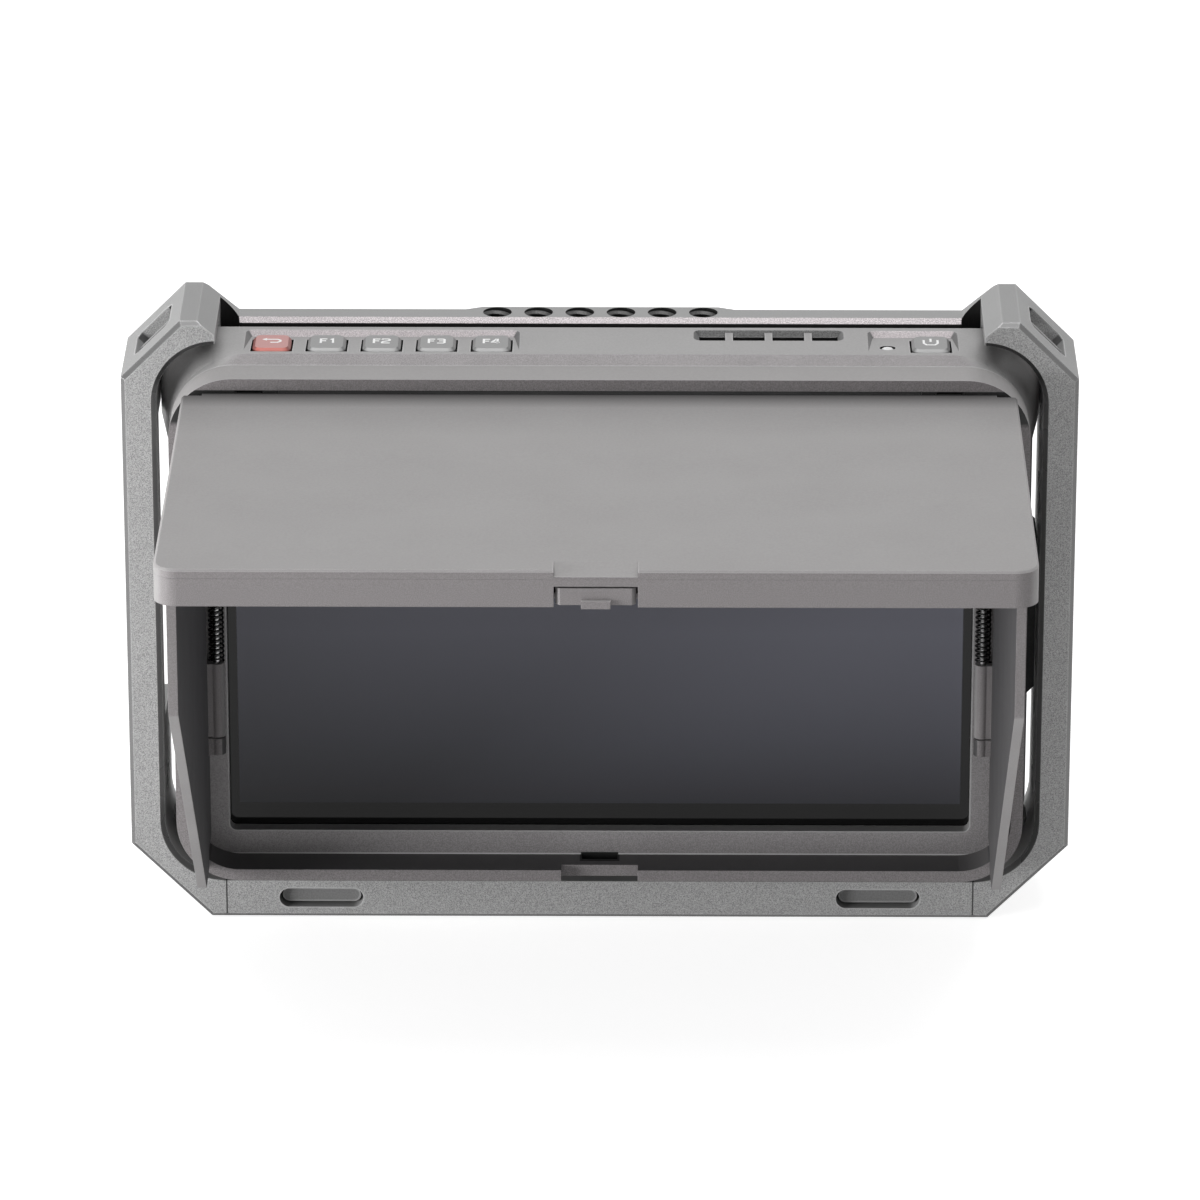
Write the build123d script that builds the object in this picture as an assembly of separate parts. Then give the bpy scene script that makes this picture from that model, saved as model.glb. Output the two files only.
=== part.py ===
from build123d import *
import math
import os

# Camera field monitor with a folding sun hood, held in a machined guard cage.
# Millimetres. X runs to the right, Y from the screen side to the back, Z up.
# The origin is the mouth of the tripod thread in the middle of the cage's underside.
# Depths (names ending in _d) are measured back from the front plane of the cage.
# Sizes run outward from the screen: its bezel, the housing, then the cage round it.

# ---- clearances ---------------------------------------------------------------
fit_gap = 0.3
moving_gap = 0.3
pin_gap = 0.08
over = 1.0
near = 0.1

# ---- screen -------------------------------------------------------------------
screen_width = 132.6
screen_height = 74.5
opening_side = 1.7
opening_end = 4.25
opening_radius = 1.2
glass_lap = 2.3
glass_t = 1.0
gasket_t = 0.2
gasket_inset = 0.3
panel_side = 1.6
panel_end = 2.3
panel_t = 2.6
shield_side = 3.0
shield_end = 3.2
shield_t = 0.8

# ---- housing walls ------------------------------------------------------------
bezel_side = 11.1
bezel_low = 11.2
bezel_high = 12.36
bezel_t = 2.7
bezel_proud = 0.7
brow_deep = 2.2
brow_side = 0.2
brow_rise = 1.44
brow_radius = 14.8
front_radius = 11.5
flare_side = 2.3
flare_low = 2.4
flare_back = 5.0
shell_side = 2.6
shell_low = 2.2
shell_radius = 7.0
deck_t = 2.4
bay_wall = 2.5
bay_ramp = 4.6
bay_low_rise = 6.0
bay_high_drop = 7.6

# ---- cage bars ----------------------------------------------------------------
cage_depth = 22.2
side_bar = 6.3
bottom_bar = 8.3
arch_gap = 2.0
ear_bar = 4.5
low_corner = 14.6
ear_corner = 10.8
ear_top = 3.2
ear_slope_run = 6.2
ear_slope_drop = 5.2
ear_width = 17.1
inner_radius = 11.0
outer_bevel = 0.8
inner_bevel = 0.9
thread_radius = 2.6
big_thread_radius = 4.4
low_threads = (23.8, 38.8)
high_threads = (22.0, 52.0)
big_thread_drop = 37.0

rail_depth = 5.1
rail_height = 7.4
rail_above = 1.1
rail_swell = 1.3
rail_swell_half = 21.5
rail_ramp = 3.0
rail_bevel = 0.9
rail_pitch = 7.5
rail_threads = 6
rail_wall = 0.2
web_round = 3.6

window_front_d = 7.0
window_margin = 3.5

strap_slot_length = 9.0
strap_slot_width = 10.6
strap_slot_radius = 1.5
strap_bar_radius = 1.6
strap_bar_sink = 2.4

slot_x = 51.4
slot_length = 15.5
slot_height = 3.7
slot_z = 4.0
slot_deep = 5.0
insert_gap = 0.5
insert_sink = 1.5

base_screw_x = 24.0
base_head_radius = 2.8
base_head_t = 1.8
hex_radius = 1.4
hex_deep = 1.2
pad_t = 1.2
pad_recess = 0.9
pad_inner = 8.0
pad_outer = 62.0
pad_width = 12.0

# ---- deck: keys, lamp and vents -------------------------------------------------
key_width = 6.9
key_length = 7.7
key_radius = 1.6
key_bevel = 0.5
key_pitch = 9.92
key_count = 5
key_proud = 0.4
key_travel = 0.5
flange_out = 0.8
flange_t = 0.6
stem_half = 1.0
stem_length = 0.8
first_key_inset = 10.0
power_key_inset = 9.5
pocket_margin = 5.0
pocket_back = 6.35
pocket_front = 3.4
pocket_deep = 1.0
pocket_radius = 1.5
deck_margin = 2.5
lamp_offset = 7.8
lamp_forward = 0.95
lamp_radius = 1.2
lamp_dome = 0.7
lamp_gap = 0.25
lamp_margin = 3.5
vent_offset = 29.2
vent_width = 27.2
vent_length = 5.6
vent_margin = 1.2
vent_count = 4
vent_rib = 1.4
vent_rib_drop = 0.4
vent_deep = 1.05
vent_slot = 1.9
grille_t = 0.8
grille_border = 0.5
grille_slots = 12
switch_height = 1.6
switch_size = 4.5
button_half = 1.2
button_height = 0.5
key_board_t = 0.8
key_board_end = 7.5
lamp_board_end = 12.0
key_board_width = 6.4
post_inset = 1.2
post_half = 0.8
post_length = 2.0

# ---- works ----------------------------------------------------------------------
boss_radius = 2.4
boss_length = 2.4
boss_inset = 6.0
board_t = 1.6
board_low_rise = 1.8
board_high_drop = 8.7
board_fan_gap = 3.5
board_head_radius = 2.0
board_head_t = 1.2
chip_t = 1.4
chips = ((38.8, 36.0, 17.0), (62.8, 40.0, 12.0), (22.8, 22.0, 10.0), (62.8, 12.0, 9.0), (38.8, 10.0, 7.0))
sink_half_x = 12.0
sink_half_z = 15.0
sink_base = 1.6
sink_air = 2.5
fin_t = 1.0
fin_count = 9

fan_half = 15.0
fan_t = 8.0
fan_air = 3.1
fan_drop = 22.1
fan_bore = 12.8
fan_wall = 1.0
fan_hub = 5.5
fan_shaft = 1.0
fan_blades = 9
blade_t = 0.9
blade_sweep = 1.8
bearing_radius = 2.4
bearing_length = 2.0
mount_half = 2.5
mount_height = 8.0

# ---- sockets on the sides ---------------------------------------------------------
port_deep = 8.0
port_recess = 0.2
port_gap = 0.1
shell_t = 0.6
hdmi_drops = (13.0, 33.0)
hdmi_tall = 15.2
hdmi_wide = 5.8
tongue_half = 5.2
tongue_t = 1.0
usb_drop = 47.5
usb_tall = 9.2
usb_wide = 3.5
phone_drop = 56.0
phone_radius = 3.2
phone_bore = 1.8
dc_z = 60.0
dc_radius = 4.0
dc_bore = 2.8
cover_low = 43.0
cover_high = 75.5
cover_front_d = 5.0
cover_back_inset = 0.6
cover_sink = 0.8
cover_gap = 0.2
cover_slope = 1.4

# ---- back -------------------------------------------------------------------------
rear_proud = 1.3
rear_gap = 1.1
rail_gap = 1.5
rear_under_rail = 0.6
rear_wall = 2.0
rear_bevel = 2.5
screw_inset = 3.8
screw_rise = 11.4
screw_drop = 6.6
screw_head_radius = 2.3
screw_head_t = 1.6
screw_sink = 0.6
rear_post_half = 3.0
intake_pitch = 5.0
intake_length = 56.0
intake_width = 2.4
exhaust_pitch = 4.4
exhaust_count = 5
exhaust_length = 22.0
exhaust_width = 2.2

plate_half = 20.0
plate_length = 66.0
plate_base_t = 1.6
plate_rail_t = 4.0
plate_rail_w = 3.0
plate_claw_t = 1.2
plate_claw_w = 1.6
plate_claw_length = 7.0
plate_claws = (6.0, 28.0, 48.0)
plate_open_end = 8.0
plate_foot = 2.4
contact_xs = (-5.0, 0.0, 5.0)
contact_half = 8.0
contact_t = 2.2
contact_length = 6.0
contact_inset = 1.0
contact_blade = 0.8
catch_half = 5.0
catch_flange = 1.2
catch_flange_t = 0.6
catch_t = 1.5
catch_thumb = 3.4
catch_length = 5.8
release_travel = 2.5
release_spring_shut = 0.8
spring_radius = 0.7

# ---- sun hood -----------------------------------------------------------------------
hood_depth = 7.3
hood_wall = 2.2
tab_inset = 0.5
tab_half = 4.0
tab_t = 1.0
tab_deep = 2.0
tab_root = 0.6
tab_gap = 0.2
inner_tab_x = 20.0
outer_tab_inset = 22.4
pin_radius = 0.6

flap_side_gap = 2.7
flap_plate = 1.6
flap_rim_t = 1.2
flap_rim_h = 6.6
flap_corner = 4.0
flap_bevel = 0.4
flap_lift = 1.2
flap_hinge_gap = 0.5
flap_step = 1.4
flap_step_w = 3.6
lip_gap = 0.5
top_hinge_drop = 1.4
top_hinge_set = 1.1
top_hinge_radius = 1.2
lug_relief = 0.05
ear_inset = 14.7
top_ear_w = 4.6
ear_reach = 3.0
lug_w = 2.4

latch_half = 6.8
latch_bevel = 0.7
latch_drop = 3.2
latch_raise = 0.4
latch_face_t = 1.6
latch_length = 7.2
latch_travel = 1.0
latch_ramp = 4.5
latch_ramp_drop = 1.2
latch_floor = 1.0
latch_cheek = 1.2
latch_spring_shut = 1.6
hook_half = 2.5
hook_height = 1.3
hook_gap = 0.8
notch_half = 7.0
notch_deep = 2.5
lip_slot_long = 2.2
lip_slot_deep = 1.2

side_plate = 1.7
side_gap = 2.0
side_pin_set = 1.7
side_barrel_radius = 1.4
side_hinge_set = 1.6
side_back = 1.2
side_corner_gap = 0.4
side_low_gap = 0.7
side_foot = 9.8
side_kink_drop = 25.8
side_front_gap = 11.6
side_rounding = 2.0
side_barrel_drop = 4.8
upper_barrel = 26.0
coil_length = 20.1
lower_barrel = 14.6
knuckle_t = 3.3
end_gap = 0.2
pin_end = 2.4

# ---- what follows from them: across -----------------------------------------------------
screen_half = screen_width / 2
opening_half = screen_half + opening_side
glass_half = opening_half + glass_lap
front_half = screen_half + bezel_side
housing_half = front_half + flare_side
wall_half = housing_half + fit_gap
cage_half = wall_half + side_bar
cavity_half = front_half - shell_side
bay_half = cavity_half + bay_wall
seam_half = wall_half - inner_radius - near
ear_inner_half = cage_half - ear_width
port_outer = bay_half - port_recess
port_inner = port_outer - port_deep
rear_half = wall_half - rear_gap
screw_half_x = cavity_half - screw_inset
first_key_x = first_key_inset - ear_inner_half
power_key_x = ear_inner_half - power_key_inset
lamp_x = power_key_x - lamp_offset
fan_x = power_key_x - vent_offset
board_left = fit_gap - port_inner
board_right = fan_x - fan_half - board_fan_gap
flap_half = front_half - flap_side_gap
hood_in_half = front_half - hood_wall
top_ear_x = front_half - ear_inset
side_outer_half = hood_in_half - side_gap
side_inner_half = side_outer_half - side_plate
side_hinge_x = side_inner_half - side_pin_set

# ---- what follows from them: up ----------------------------------------------------------
housing_low = bottom_bar + fit_gap
front_low = housing_low + flare_low
screen_low = front_low + bezel_low
screen_high = screen_low + screen_height
front_high = screen_high + bezel_high
housing_high = front_high + brow_rise
arch_top = housing_high + arch_gap
cage_height = arch_top + ear_bar
rail_top = housing_high + rail_above
rail_bottom = rail_top - rail_height
rear_high = rail_bottom - rear_under_rail
rear_middle = (housing_low + rear_high) / 2
deck_bottom = housing_high - deck_t
cavity_low = front_low + shell_low
opening_low = screen_low - opening_end
opening_high = screen_high + opening_end
bay_low = housing_low + bay_low_rise
bay_high = rear_high - bay_high_drop
screw_low = housing_low + screw_rise
screw_high = rear_high - screw_drop
key_top = housing_high + key_proud
flange_top = deck_bottom - moving_gap
stem_low = flange_top - flange_t - stem_length
key_board_top = stem_low - key_travel - moving_gap - switch_height
board_low = screen_low + board_low_rise
board_high = screen_high - board_high_drop
fan_z = deck_bottom - fan_drop
plate_low = rear_middle - plate_length / 2
plate_high = rear_middle + plate_length / 2
release_room = release_travel + release_spring_shut
phone_z = screw_high - phone_drop
usb_z = screw_high - usb_drop
window_low = phone_z - window_margin
window_high = screw_high
hood_in_low = front_low + hood_wall
hood_in_high = front_high - hood_wall
top_hinge_z = hood_in_high - top_hinge_drop
flap_top = top_hinge_z + top_hinge_set
flap_low = flap_top - flap_rim_h
latch_top = flap_top - latch_drop
latch_room = latch_travel + latch_spring_shut
hood_corner = front_radius - hood_wall
corner_inset = side_outer_half - (hood_in_half - hood_corner)
corner_rise = hood_corner - math.sqrt(hood_corner**2 - corner_inset**2) + side_corner_gap
side_top = hood_in_high - corner_rise
side_rear_low = hood_in_low + corner_rise
side_low = hood_in_low + side_low_gap
barrel_high = side_top - side_barrel_drop
coil_high = barrel_high - upper_barrel
coil_low = coil_high - coil_length
barrel_low = coil_low - lower_barrel

# ---- what follows from them: back ----------------------------------------------------------
middle_d = cage_depth / 2
rail_front_d = cage_depth - rail_depth
rail_thread_d = cage_depth + rail_swell - rail_wall - thread_radius
housing_front_d = -bezel_proud
brow_d = housing_front_d + brow_deep
housing_back_d = rail_front_d - rail_gap
flare_d = housing_back_d - flare_back
cavity_front_d = housing_front_d + bezel_t
glass_d = cavity_front_d + gasket_t
panel_d = glass_d + glass_t
shield_d = panel_d + panel_t
shield_back_d = shield_d + shield_t
board_d = shield_back_d + boss_length
board_back_d = board_d + board_t
rear_back_d = cage_depth + rear_proud
rear_inner_d = rear_back_d - rear_wall
fan_back_d = rear_inner_d - fan_air
fan_front_d = fan_back_d - fan_t
pocket_back_d = housing_back_d - deck_margin
key_d = pocket_back_d - pocket_back
pocket_front_d = key_d - pocket_front
lamp_d = key_d - lamp_forward
vent_back_d = housing_back_d - vent_margin
vent_front_d = vent_back_d - vent_length
port_d = board_back_d
cover_back_d = housing_back_d - cover_back_inset
hood_front_d = housing_front_d - hood_depth
top_hinge_d = hood_front_d + top_hinge_set
flap_back_d = hood_front_d - flap_hinge_gap
flap_front_d = top_hinge_d - (top_hinge_z - hood_in_low - lip_gap)
side_hinge_d = housing_front_d - side_hinge_set
side_back_d = side_hinge_d + side_back
side_foot_d = hood_front_d - side_foot
side_front_d = flap_front_d + side_front_gap


# ---- small tools ------------------------------------------------------------
def y_at(depth):
    """The Y of a depth behind the front plane of the cage."""
    return depth - cage_depth / 2


def block(x0, x1, d0, d1, z0, z1):
    """A box between two corners, with its Y sides given as depths."""
    size = (abs(x1 - x0), d1 - d0, z1 - z0)
    centre = ((x0 + x1) / 2, y_at((d0 + d1) / 2), (z0 + z1) / 2)
    return Pos(*centre) * Box(*size)


def front_plane(depth):
    """A plane seen from the front: its x is X and its y is Z."""
    return Plane((0, y_at(depth), 0), x_dir=(1, 0, 0), z_dir=(0, -1, 0))


def side_plane(x):
    """A plane seen from the right: its x is Y and its y is Z."""
    return Plane((x, 0, 0), x_dir=(0, 1, 0), z_dir=(1, 0, 0))


def through(sketch, d0, d1):
    """A front view drawn in X and Z, run back from one depth to another."""
    return extrude(front_plane(d0) * sketch, -(d1 - d0))


def across(sketch, x0, x1):
    """A side view drawn in Y and Z, run from the lower X to the higher."""
    low, high = sorted((x0, x1))
    return extrude(side_plane(low) * sketch, high - low)


def upward(sketch, z0, z1):
    """A plan view drawn in X and Y, run from one height to another."""
    return extrude(Plane.XY.offset(z0) * sketch, z1 - z0)


def rounded(half, low, high, radius):
    """A rounded rectangle about X = 0 in the front view."""
    return Pos(0, (low + high) / 2) * RectangleRounded(2 * half, high - low, radius)


def outline(points):
    """A flat face inside a closed run of straight lines."""
    return make_face(Polyline(*points, close=True))


def mirrored(points):
    """A right half, listed from the bottom round to the top, joined to its left twin."""
    return outline([*points, *[(-x, z) for x, z in reversed(points)]])


def rod_y(x, z, radius, d0, d1):
    """A round bar along Y."""
    return through(Pos(x, z) * Circle(radius), d0, d1)


def rod_z(x, depth, radius, z0, z1):
    """A round bar along Z."""
    return Pos(x, y_at(depth), (z0 + z1) / 2) * Cylinder(radius, z1 - z0)


def rod_x(depth, z, radius, x0, x1):
    """A round bar along X."""
    bar = Rot(0, 90, 0) * Cylinder(radius, abs(x1 - x0))
    return Pos((x0 + x1) / 2, y_at(depth), z) * bar


def flat_edges(part, depth):
    """The edges of a part that lie wholly in one plane of constant depth."""
    y = y_at(depth)
    flat = []
    for edge in part.edges():
        box = edge.bounding_box()
        if abs(box.min.Y - y) < 1e-4 and abs(box.max.Y - y) < 1e-4:
            flat.append(edge)
    return flat


# ---- cage -------------------------------------------------------------------
def cage_outline():
    """The outer front view of the cage, ears and all."""
    ear_in = cage_half - ear_corner - ear_top
    return mirrored([
        (cage_half - low_corner, 0),
        (cage_half, low_corner),
        (cage_half, cage_height - ear_corner),
        (cage_half - ear_corner, cage_height),
        (ear_in, cage_height),
        (ear_in - ear_slope_run, cage_height - ear_slope_drop),
    ])


def is_mouth(edge):
    """True for an edge of the opening that the monitor sits in."""
    middle = edge @ 0.5
    between = abs(middle.X) < wall_half + near
    level = bottom_bar - near < middle.Z < arch_top + near
    at_ear = abs(middle.X) < ear_inner_half + near and middle.Z > rail_bottom
    return between and level and not at_ear


def is_rim(edge):
    """True for an edge on the outside of the cage's outline."""
    middle = edge @ 0.5
    across_x = abs(middle.X)
    foot = middle.Z < near
    side = across_x > cage_half - near
    corner = across_x - middle.Z > cage_half - low_corner - near
    shoulder = across_x + middle.Z > cage_half + cage_height - ear_corner - near
    top = middle.Z > cage_height - near
    return foot or side or corner or shoulder or top


def cage_ring():
    """The whole guard ring before it is parted into its bars."""
    ring = through(cage_outline(), 0, cage_depth)
    front_mouth = rounded(wall_half, bottom_bar, arch_top, inner_radius)
    back_mouth = rounded(wall_half, bottom_bar, rail_bottom, inner_radius)
    ring -= through(front_mouth, 0, rail_front_d)
    ring -= through(back_mouth, rail_front_d, cage_depth)
    ring -= block(-ear_inner_half, ear_inner_half, 0, cage_depth, rear_high, cage_height + over)
    ring = chamfer([e for e in flat_edges(ring, 0) if is_mouth(e)], inner_bevel)
    ring = chamfer([e for e in flat_edges(ring, 0) if is_rim(e)], outer_bevel)
    return chamfer([e for e in flat_edges(ring, cage_depth) if is_rim(e)], outer_bevel)


def strap_slot(side):
    """The tool that opens a strap slot square to the sloping shoulder, and its bar."""
    shoulder_x = side * (cage_half - ear_corner / 2)
    shoulder_z = cage_height - ear_corner / 2
    place = Pos(shoulder_x, 0, shoulder_z) * Rot(0, side * 45, 0)
    mouth = RectangleRounded(strap_slot_length, strap_slot_width, strap_slot_radius)
    tool = place * extrude(mouth, strap_slot_length, both=True)
    bar = Rot(0, 90, 0) * Cylinder(strap_bar_radius, strap_slot_length + over)
    return tool, place * Pos(0, 0, -strap_bar_sink) * bar


def side_threads(side):
    """The accessory threads through one side of the cage."""
    x0 = side * (wall_half - over)
    x1 = side * (cage_half + over)
    if side < 0:
        return [rod_x(middle_d, low_threads[0], thread_radius, x0, x1)]
    heights = [*low_threads, *[cage_height - drop for drop in high_threads]]
    tools = [rod_x(middle_d, z, thread_radius, x0, x1) for z in heights]
    big = rod_x(middle_d, cage_height - big_thread_drop, big_thread_radius, x0, x1)
    return [*tools, big]


def cage_side(ring, side):
    """One side bar, with its ear, strap slot and threads."""
    bar = ring & block(side * seam_half, side * (cage_half + over), -over, cage_depth + over,
                       -over, cage_height + over)
    slot, strap_bar = strap_slot(side)
    bar = bar - slot + strap_bar
    for hole in side_threads(side):
        bar -= hole
    if side < 0:
        bar -= block(-cage_half - over, over - wall_half, window_front_d, cage_depth + over,
                     window_low, window_high)
    return bar


def bar_slots(inset, d0, d1):
    """The two long recesses in the front of the bottom bar, drawn smaller by an inset."""
    shape = SlotOverall(slot_length - 2 * inset, slot_height - 2 * inset)
    return [through(Pos(x, slot_z) * shape, d0, d1) for x in (-slot_x, slot_x)]


def base_pads():
    """The two rubber strips let into the bottom bar, which the monitor stands on."""
    pads = []
    for side in (-1, 1):
        pads.append(block(side * pad_inner, side * pad_outer, middle_d - pad_width / 2,
                          middle_d + pad_width / 2, housing_low - pad_t, housing_low))
    return pads


def cage_bottom_bar(ring):
    """The straight bar under the monitor, with the tripod thread in its middle."""
    bar = ring & block(-seam_half, seam_half, -over, cage_depth + over, -over, rail_bottom)
    for tool in bar_slots(0, 0, slot_deep):
        bar -= tool
    bar -= rod_z(0, middle_d, thread_radius, -over, bottom_bar + over)
    for side in (-1, 1):
        bar -= rod_z(side * base_screw_x, middle_d, base_head_radius + fit_gap,
                     -over, base_head_t + fit_gap)
        bar -= block(side * pad_inner, side * pad_outer, middle_d - pad_width / 2,
                     middle_d + pad_width / 2, bottom_bar - pad_recess, bottom_bar + over)
    return bar


def base_screws():
    """The heads of the two screws that hold the monitor down on the bottom bar."""
    heads = []
    for x in (-base_screw_x, base_screw_x):
        head = rod_z(x, middle_d, base_head_radius, fit_gap, base_head_t + fit_gap)
        socket_view = Pos(x, y_at(middle_d)) * RegularPolygon(hex_radius, 6)
        heads.append(head - upward(socket_view, 0, hex_deep))
    return heads


def cage_top_rail():
    """The accessory rail behind the keys, made deeper in the middle for its row of threads."""
    ear_in = cage_half - ear_corner - ear_top
    slope = ear_slope_drop / ear_slope_run
    foot_x = ear_in - (cage_height - rail_top) / slope
    view = mirrored([
        (ear_inner_half, rail_bottom),
        (ear_inner_half, cage_height - (ear_in - ear_inner_half) * slope),
        (foot_x, rail_top),
    ])
    rail = through(view, rail_front_d, cage_depth)
    back = y_at(cage_depth)
    rail += upward(outline([
        (-rail_swell_half - rail_ramp, back),
        (rail_swell_half + rail_ramp, back),
        (rail_swell_half, back + rail_swell),
        (-rail_swell_half, back + rail_swell),
    ]), rail_bottom, rail_top)
    front = y_at(rail_front_d)
    rail -= across(outline([
        (front - over, rail_top - rail_bevel - over),
        (front - over, rail_top + over),
        (front + rail_bevel + over, rail_top + over),
    ]), -foot_x, foot_x)
    for side in (-1, 1):
        rail -= rod_z(side * ear_inner_half, rail_front_d, web_round, rail_bottom - over,
                      cage_height + over)
    for n in range(rail_threads):
        x = (n - (rail_threads - 1) / 2) * rail_pitch
        rail -= rod_z(x, rail_thread_d, thread_radius, rail_bottom - over, rail_top + over)
    return rail


# ---- housing ------------------------------------------------------------------
def housing_body():
    """The outer form of the housing: a bevelled brow that flares out to the cage."""
    full_view = rounded(housing_half, housing_low, housing_high, inner_radius - fit_gap)
    brow_view = rounded(front_half + brow_side, front_low - brow_side, housing_high, brow_radius)
    front = front_plane(housing_front_d) * rounded(front_half, front_low, front_high, front_radius)
    brow = front_plane(brow_d) * brow_view
    full = front_plane(flare_d) * full_view
    body = loft([front, brow], ruled=True) + loft([brow, full], ruled=True)
    return body + through(full_view, flare_d, housing_back_d)


def bay_cut(side):
    """The tool that sinks one side of the housing between its corners for the sockets."""
    points = [
        (housing_half + over, bay_low),
        (housing_half, bay_low),
        (bay_half, bay_low + bay_ramp),
        (bay_half, bay_high - bay_ramp),
        (housing_half, bay_high),
        (housing_half + over, bay_high),
    ]
    view = outline([(side * x, z) for x, z in points])
    return through(view, housing_front_d - over, housing_back_d + over)


def key_xs():
    """The X of each of the keys on the left, then of the power key."""
    return [first_key_x + n * key_pitch for n in range(key_count)] + [power_key_x]


def pocket_spans():
    """The X range of the mouths of the two key pockets; the right one takes the lamp in too."""
    left, right, power = key_xs()[0], key_xs()[-2], key_xs()[-1]
    return ((left - pocket_margin, right + pocket_margin),
            (lamp_x - lamp_margin, power + pocket_margin))


def sunk(x0, x1, d0, d1, deep):
    """A tool that sinks a pocket in the deck, with sloping walls and rounded corners."""
    place = Pos((x0 + x1) / 2, y_at((d0 + d1) / 2))
    mouth = RectangleRounded(x1 - x0 + 2 * deep, d1 - d0 + 2 * deep, pocket_radius + deep)
    return extrude(Plane.XY.offset(housing_high + deep) * place * mouth, -2 * deep, taper=45)


def key_pocket(x0, x1):
    """A shallow pocket whose floor climbs from its back wall to the front edge."""
    back = y_at(pocket_back_d)
    front = y_at(pocket_front_d)
    floor = across(outline([
        (front, housing_high),
        (back, housing_high - pocket_deep),
        (back + over, housing_high - pocket_deep),
        (back + over, housing_high + over),
        (front, housing_high + over),
    ]), x0 - over, x1 + over)
    return floor & sunk(x0, x1, pocket_front_d - pocket_radius - over, pocket_back_d + pocket_deep,
                        pocket_deep)


def key_hole(x):
    """The square-cornered hole in the deck round one key."""
    size = (key_width + 2 * moving_gap, key_length + 2 * moving_gap)
    return upward(Pos(x, y_at(key_d)) * Rectangle(*size), deck_bottom - over, housing_high + over)


def vent_recess():
    """The exhaust: a recess over the fan with a slot in its floor, parted by low ribs."""
    x0 = fan_x - vent_width / 2
    x1 = fan_x + vent_width / 2
    slot_d = vent_back_d - vent_deep
    tool = sunk(x0, x1, vent_front_d, vent_back_d, vent_deep)
    tool += block(x0 + vent_deep, x1 - vent_deep, slot_d - vent_slot, slot_d,
                  deck_bottom - over, housing_high - vent_deep / 2)
    pitch = (vent_width + vent_rib) / vent_count
    for n in range(1, vent_count):
        rib_x = x0 + n * pitch
        tool -= block(rib_x - vent_rib, rib_x, vent_front_d - over, vent_back_d + over,
                      deck_bottom - 2 * over, housing_high - vent_rib_drop)
    return tool


def tab_places():
    """Where the hood's snap tabs stand: the X and the low Z of each."""
    outer = front_half - outer_tab_inset
    heights = (front_low + tab_inset, front_high - tab_inset - tab_t)
    return [(x, z) for z in heights for x in (-outer, -inner_tab_x, inner_tab_x, outer)]


def socket_views():
    """Each socket: its side view grown by a gap, and the side of the housing it is on."""
    y = y_at(port_d)
    views = {}
    for n, drop in enumerate(hdmi_drops):
        views[f"hdmi_{n + 1}"] = (-1, lambda gap, z=screw_high - drop: Pos(y, z) * Rectangle(
            hdmi_wide + 2 * gap, hdmi_tall + 2 * gap))
    views["usb"] = (-1, lambda gap: Pos(y, usb_z) * SlotOverall(
        usb_tall + 2 * gap, usb_wide + 2 * gap, rotation=90))
    views["phone"] = (-1, lambda gap: Pos(y, phone_z) * Circle(phone_radius + gap))
    views["dc"] = (1, lambda gap: Pos(y, dc_z) * Circle(dc_radius + gap))
    return views


def socket(name, gap, outer, inner):
    """A socket's outline, grown by a gap, run in through the side of the housing."""
    side, view = socket_views()[name]
    return across(view(gap), side * outer, side * inner)


def rear_screw_places():
    """The X and Z of the four screws that close the back."""
    return [(side * screw_half_x, z) for side in (-1, 1) for z in (screw_low, screw_high)]


def housing_post(x, z):
    """One post of the front shell that the back is closed on, webbed to the wall beside it."""
    side = math.copysign(1, x)
    return block(x - side * rear_post_half, side * (cavity_half + near), shield_back_d + fit_gap,
                 housing_back_d, z - rear_post_half, z + rear_post_half)


def front_housing():
    """The front shell: bezel, brow, key deck and the walls round the works."""
    body = housing_body() - bay_cut(-1) - bay_cut(1)
    body -= through(rounded(cavity_half, cavity_low, deck_bottom, shell_radius),
                    cavity_front_d, housing_back_d + over)
    body -= through(rounded(opening_half, opening_low, opening_high, opening_radius),
                    housing_front_d - over, cavity_front_d + over)
    for x0, x1 in pocket_spans():
        body -= key_pocket(x0, x1)
    for x in key_xs():
        body -= key_hole(x)
    body -= vent_recess()
    body -= rod_z(lamp_x, lamp_d, lamp_radius + lamp_gap, deck_bottom - over, housing_high + over)
    for x, z in tab_places():
        body -= block(x - tab_half - tab_gap, x + tab_half + tab_gap, housing_front_d - over,
                      housing_front_d + tab_deep + tab_gap, z - tab_gap, z + tab_t + tab_gap)
    for name in socket_views():
        body -= socket(name, port_gap, housing_half + over, cavity_half - over)
    body -= block(bay_half - cover_sink, housing_half + over, cover_front_d, cover_back_d,
                  cover_low, cover_high)
    for x, z in rear_screw_places():
        body += housing_post(x, z)
    return body


# ---- screen and works -------------------------------------------------------------
def cover_glass():
    """The glass over the whole front opening, held behind the bezel."""
    return block(-glass_half, glass_half, glass_d, panel_d, opening_low - glass_lap,
                 opening_high + glass_lap)


def glass_gasket():
    """The thin frame of foam tape between the bezel and the glass."""
    outer = glass_lap - gasket_inset
    tape = block(-opening_half - outer, opening_half + outer, cavity_front_d, glass_d,
                 opening_low - outer, opening_high + outer)
    return tape - block(-opening_half - gasket_inset, opening_half + gasket_inset,
                        cavity_front_d - over, glass_d + over,
                        opening_low - gasket_inset, opening_high + gasket_inset)


def lcd_panel():
    """The screen module: its live area plus a border on every side."""
    return block(-screen_half - panel_side, screen_half + panel_side, panel_d, shield_d,
                 screen_low - panel_end, screen_high + panel_end)


def boss_places():
    """The X and Z of the four bosses that carry the main board."""
    xs = (board_left + boss_inset, board_right - boss_inset)
    return [(x, z) for x in xs for z in (board_low + boss_inset, board_high - boss_inset)]


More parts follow.
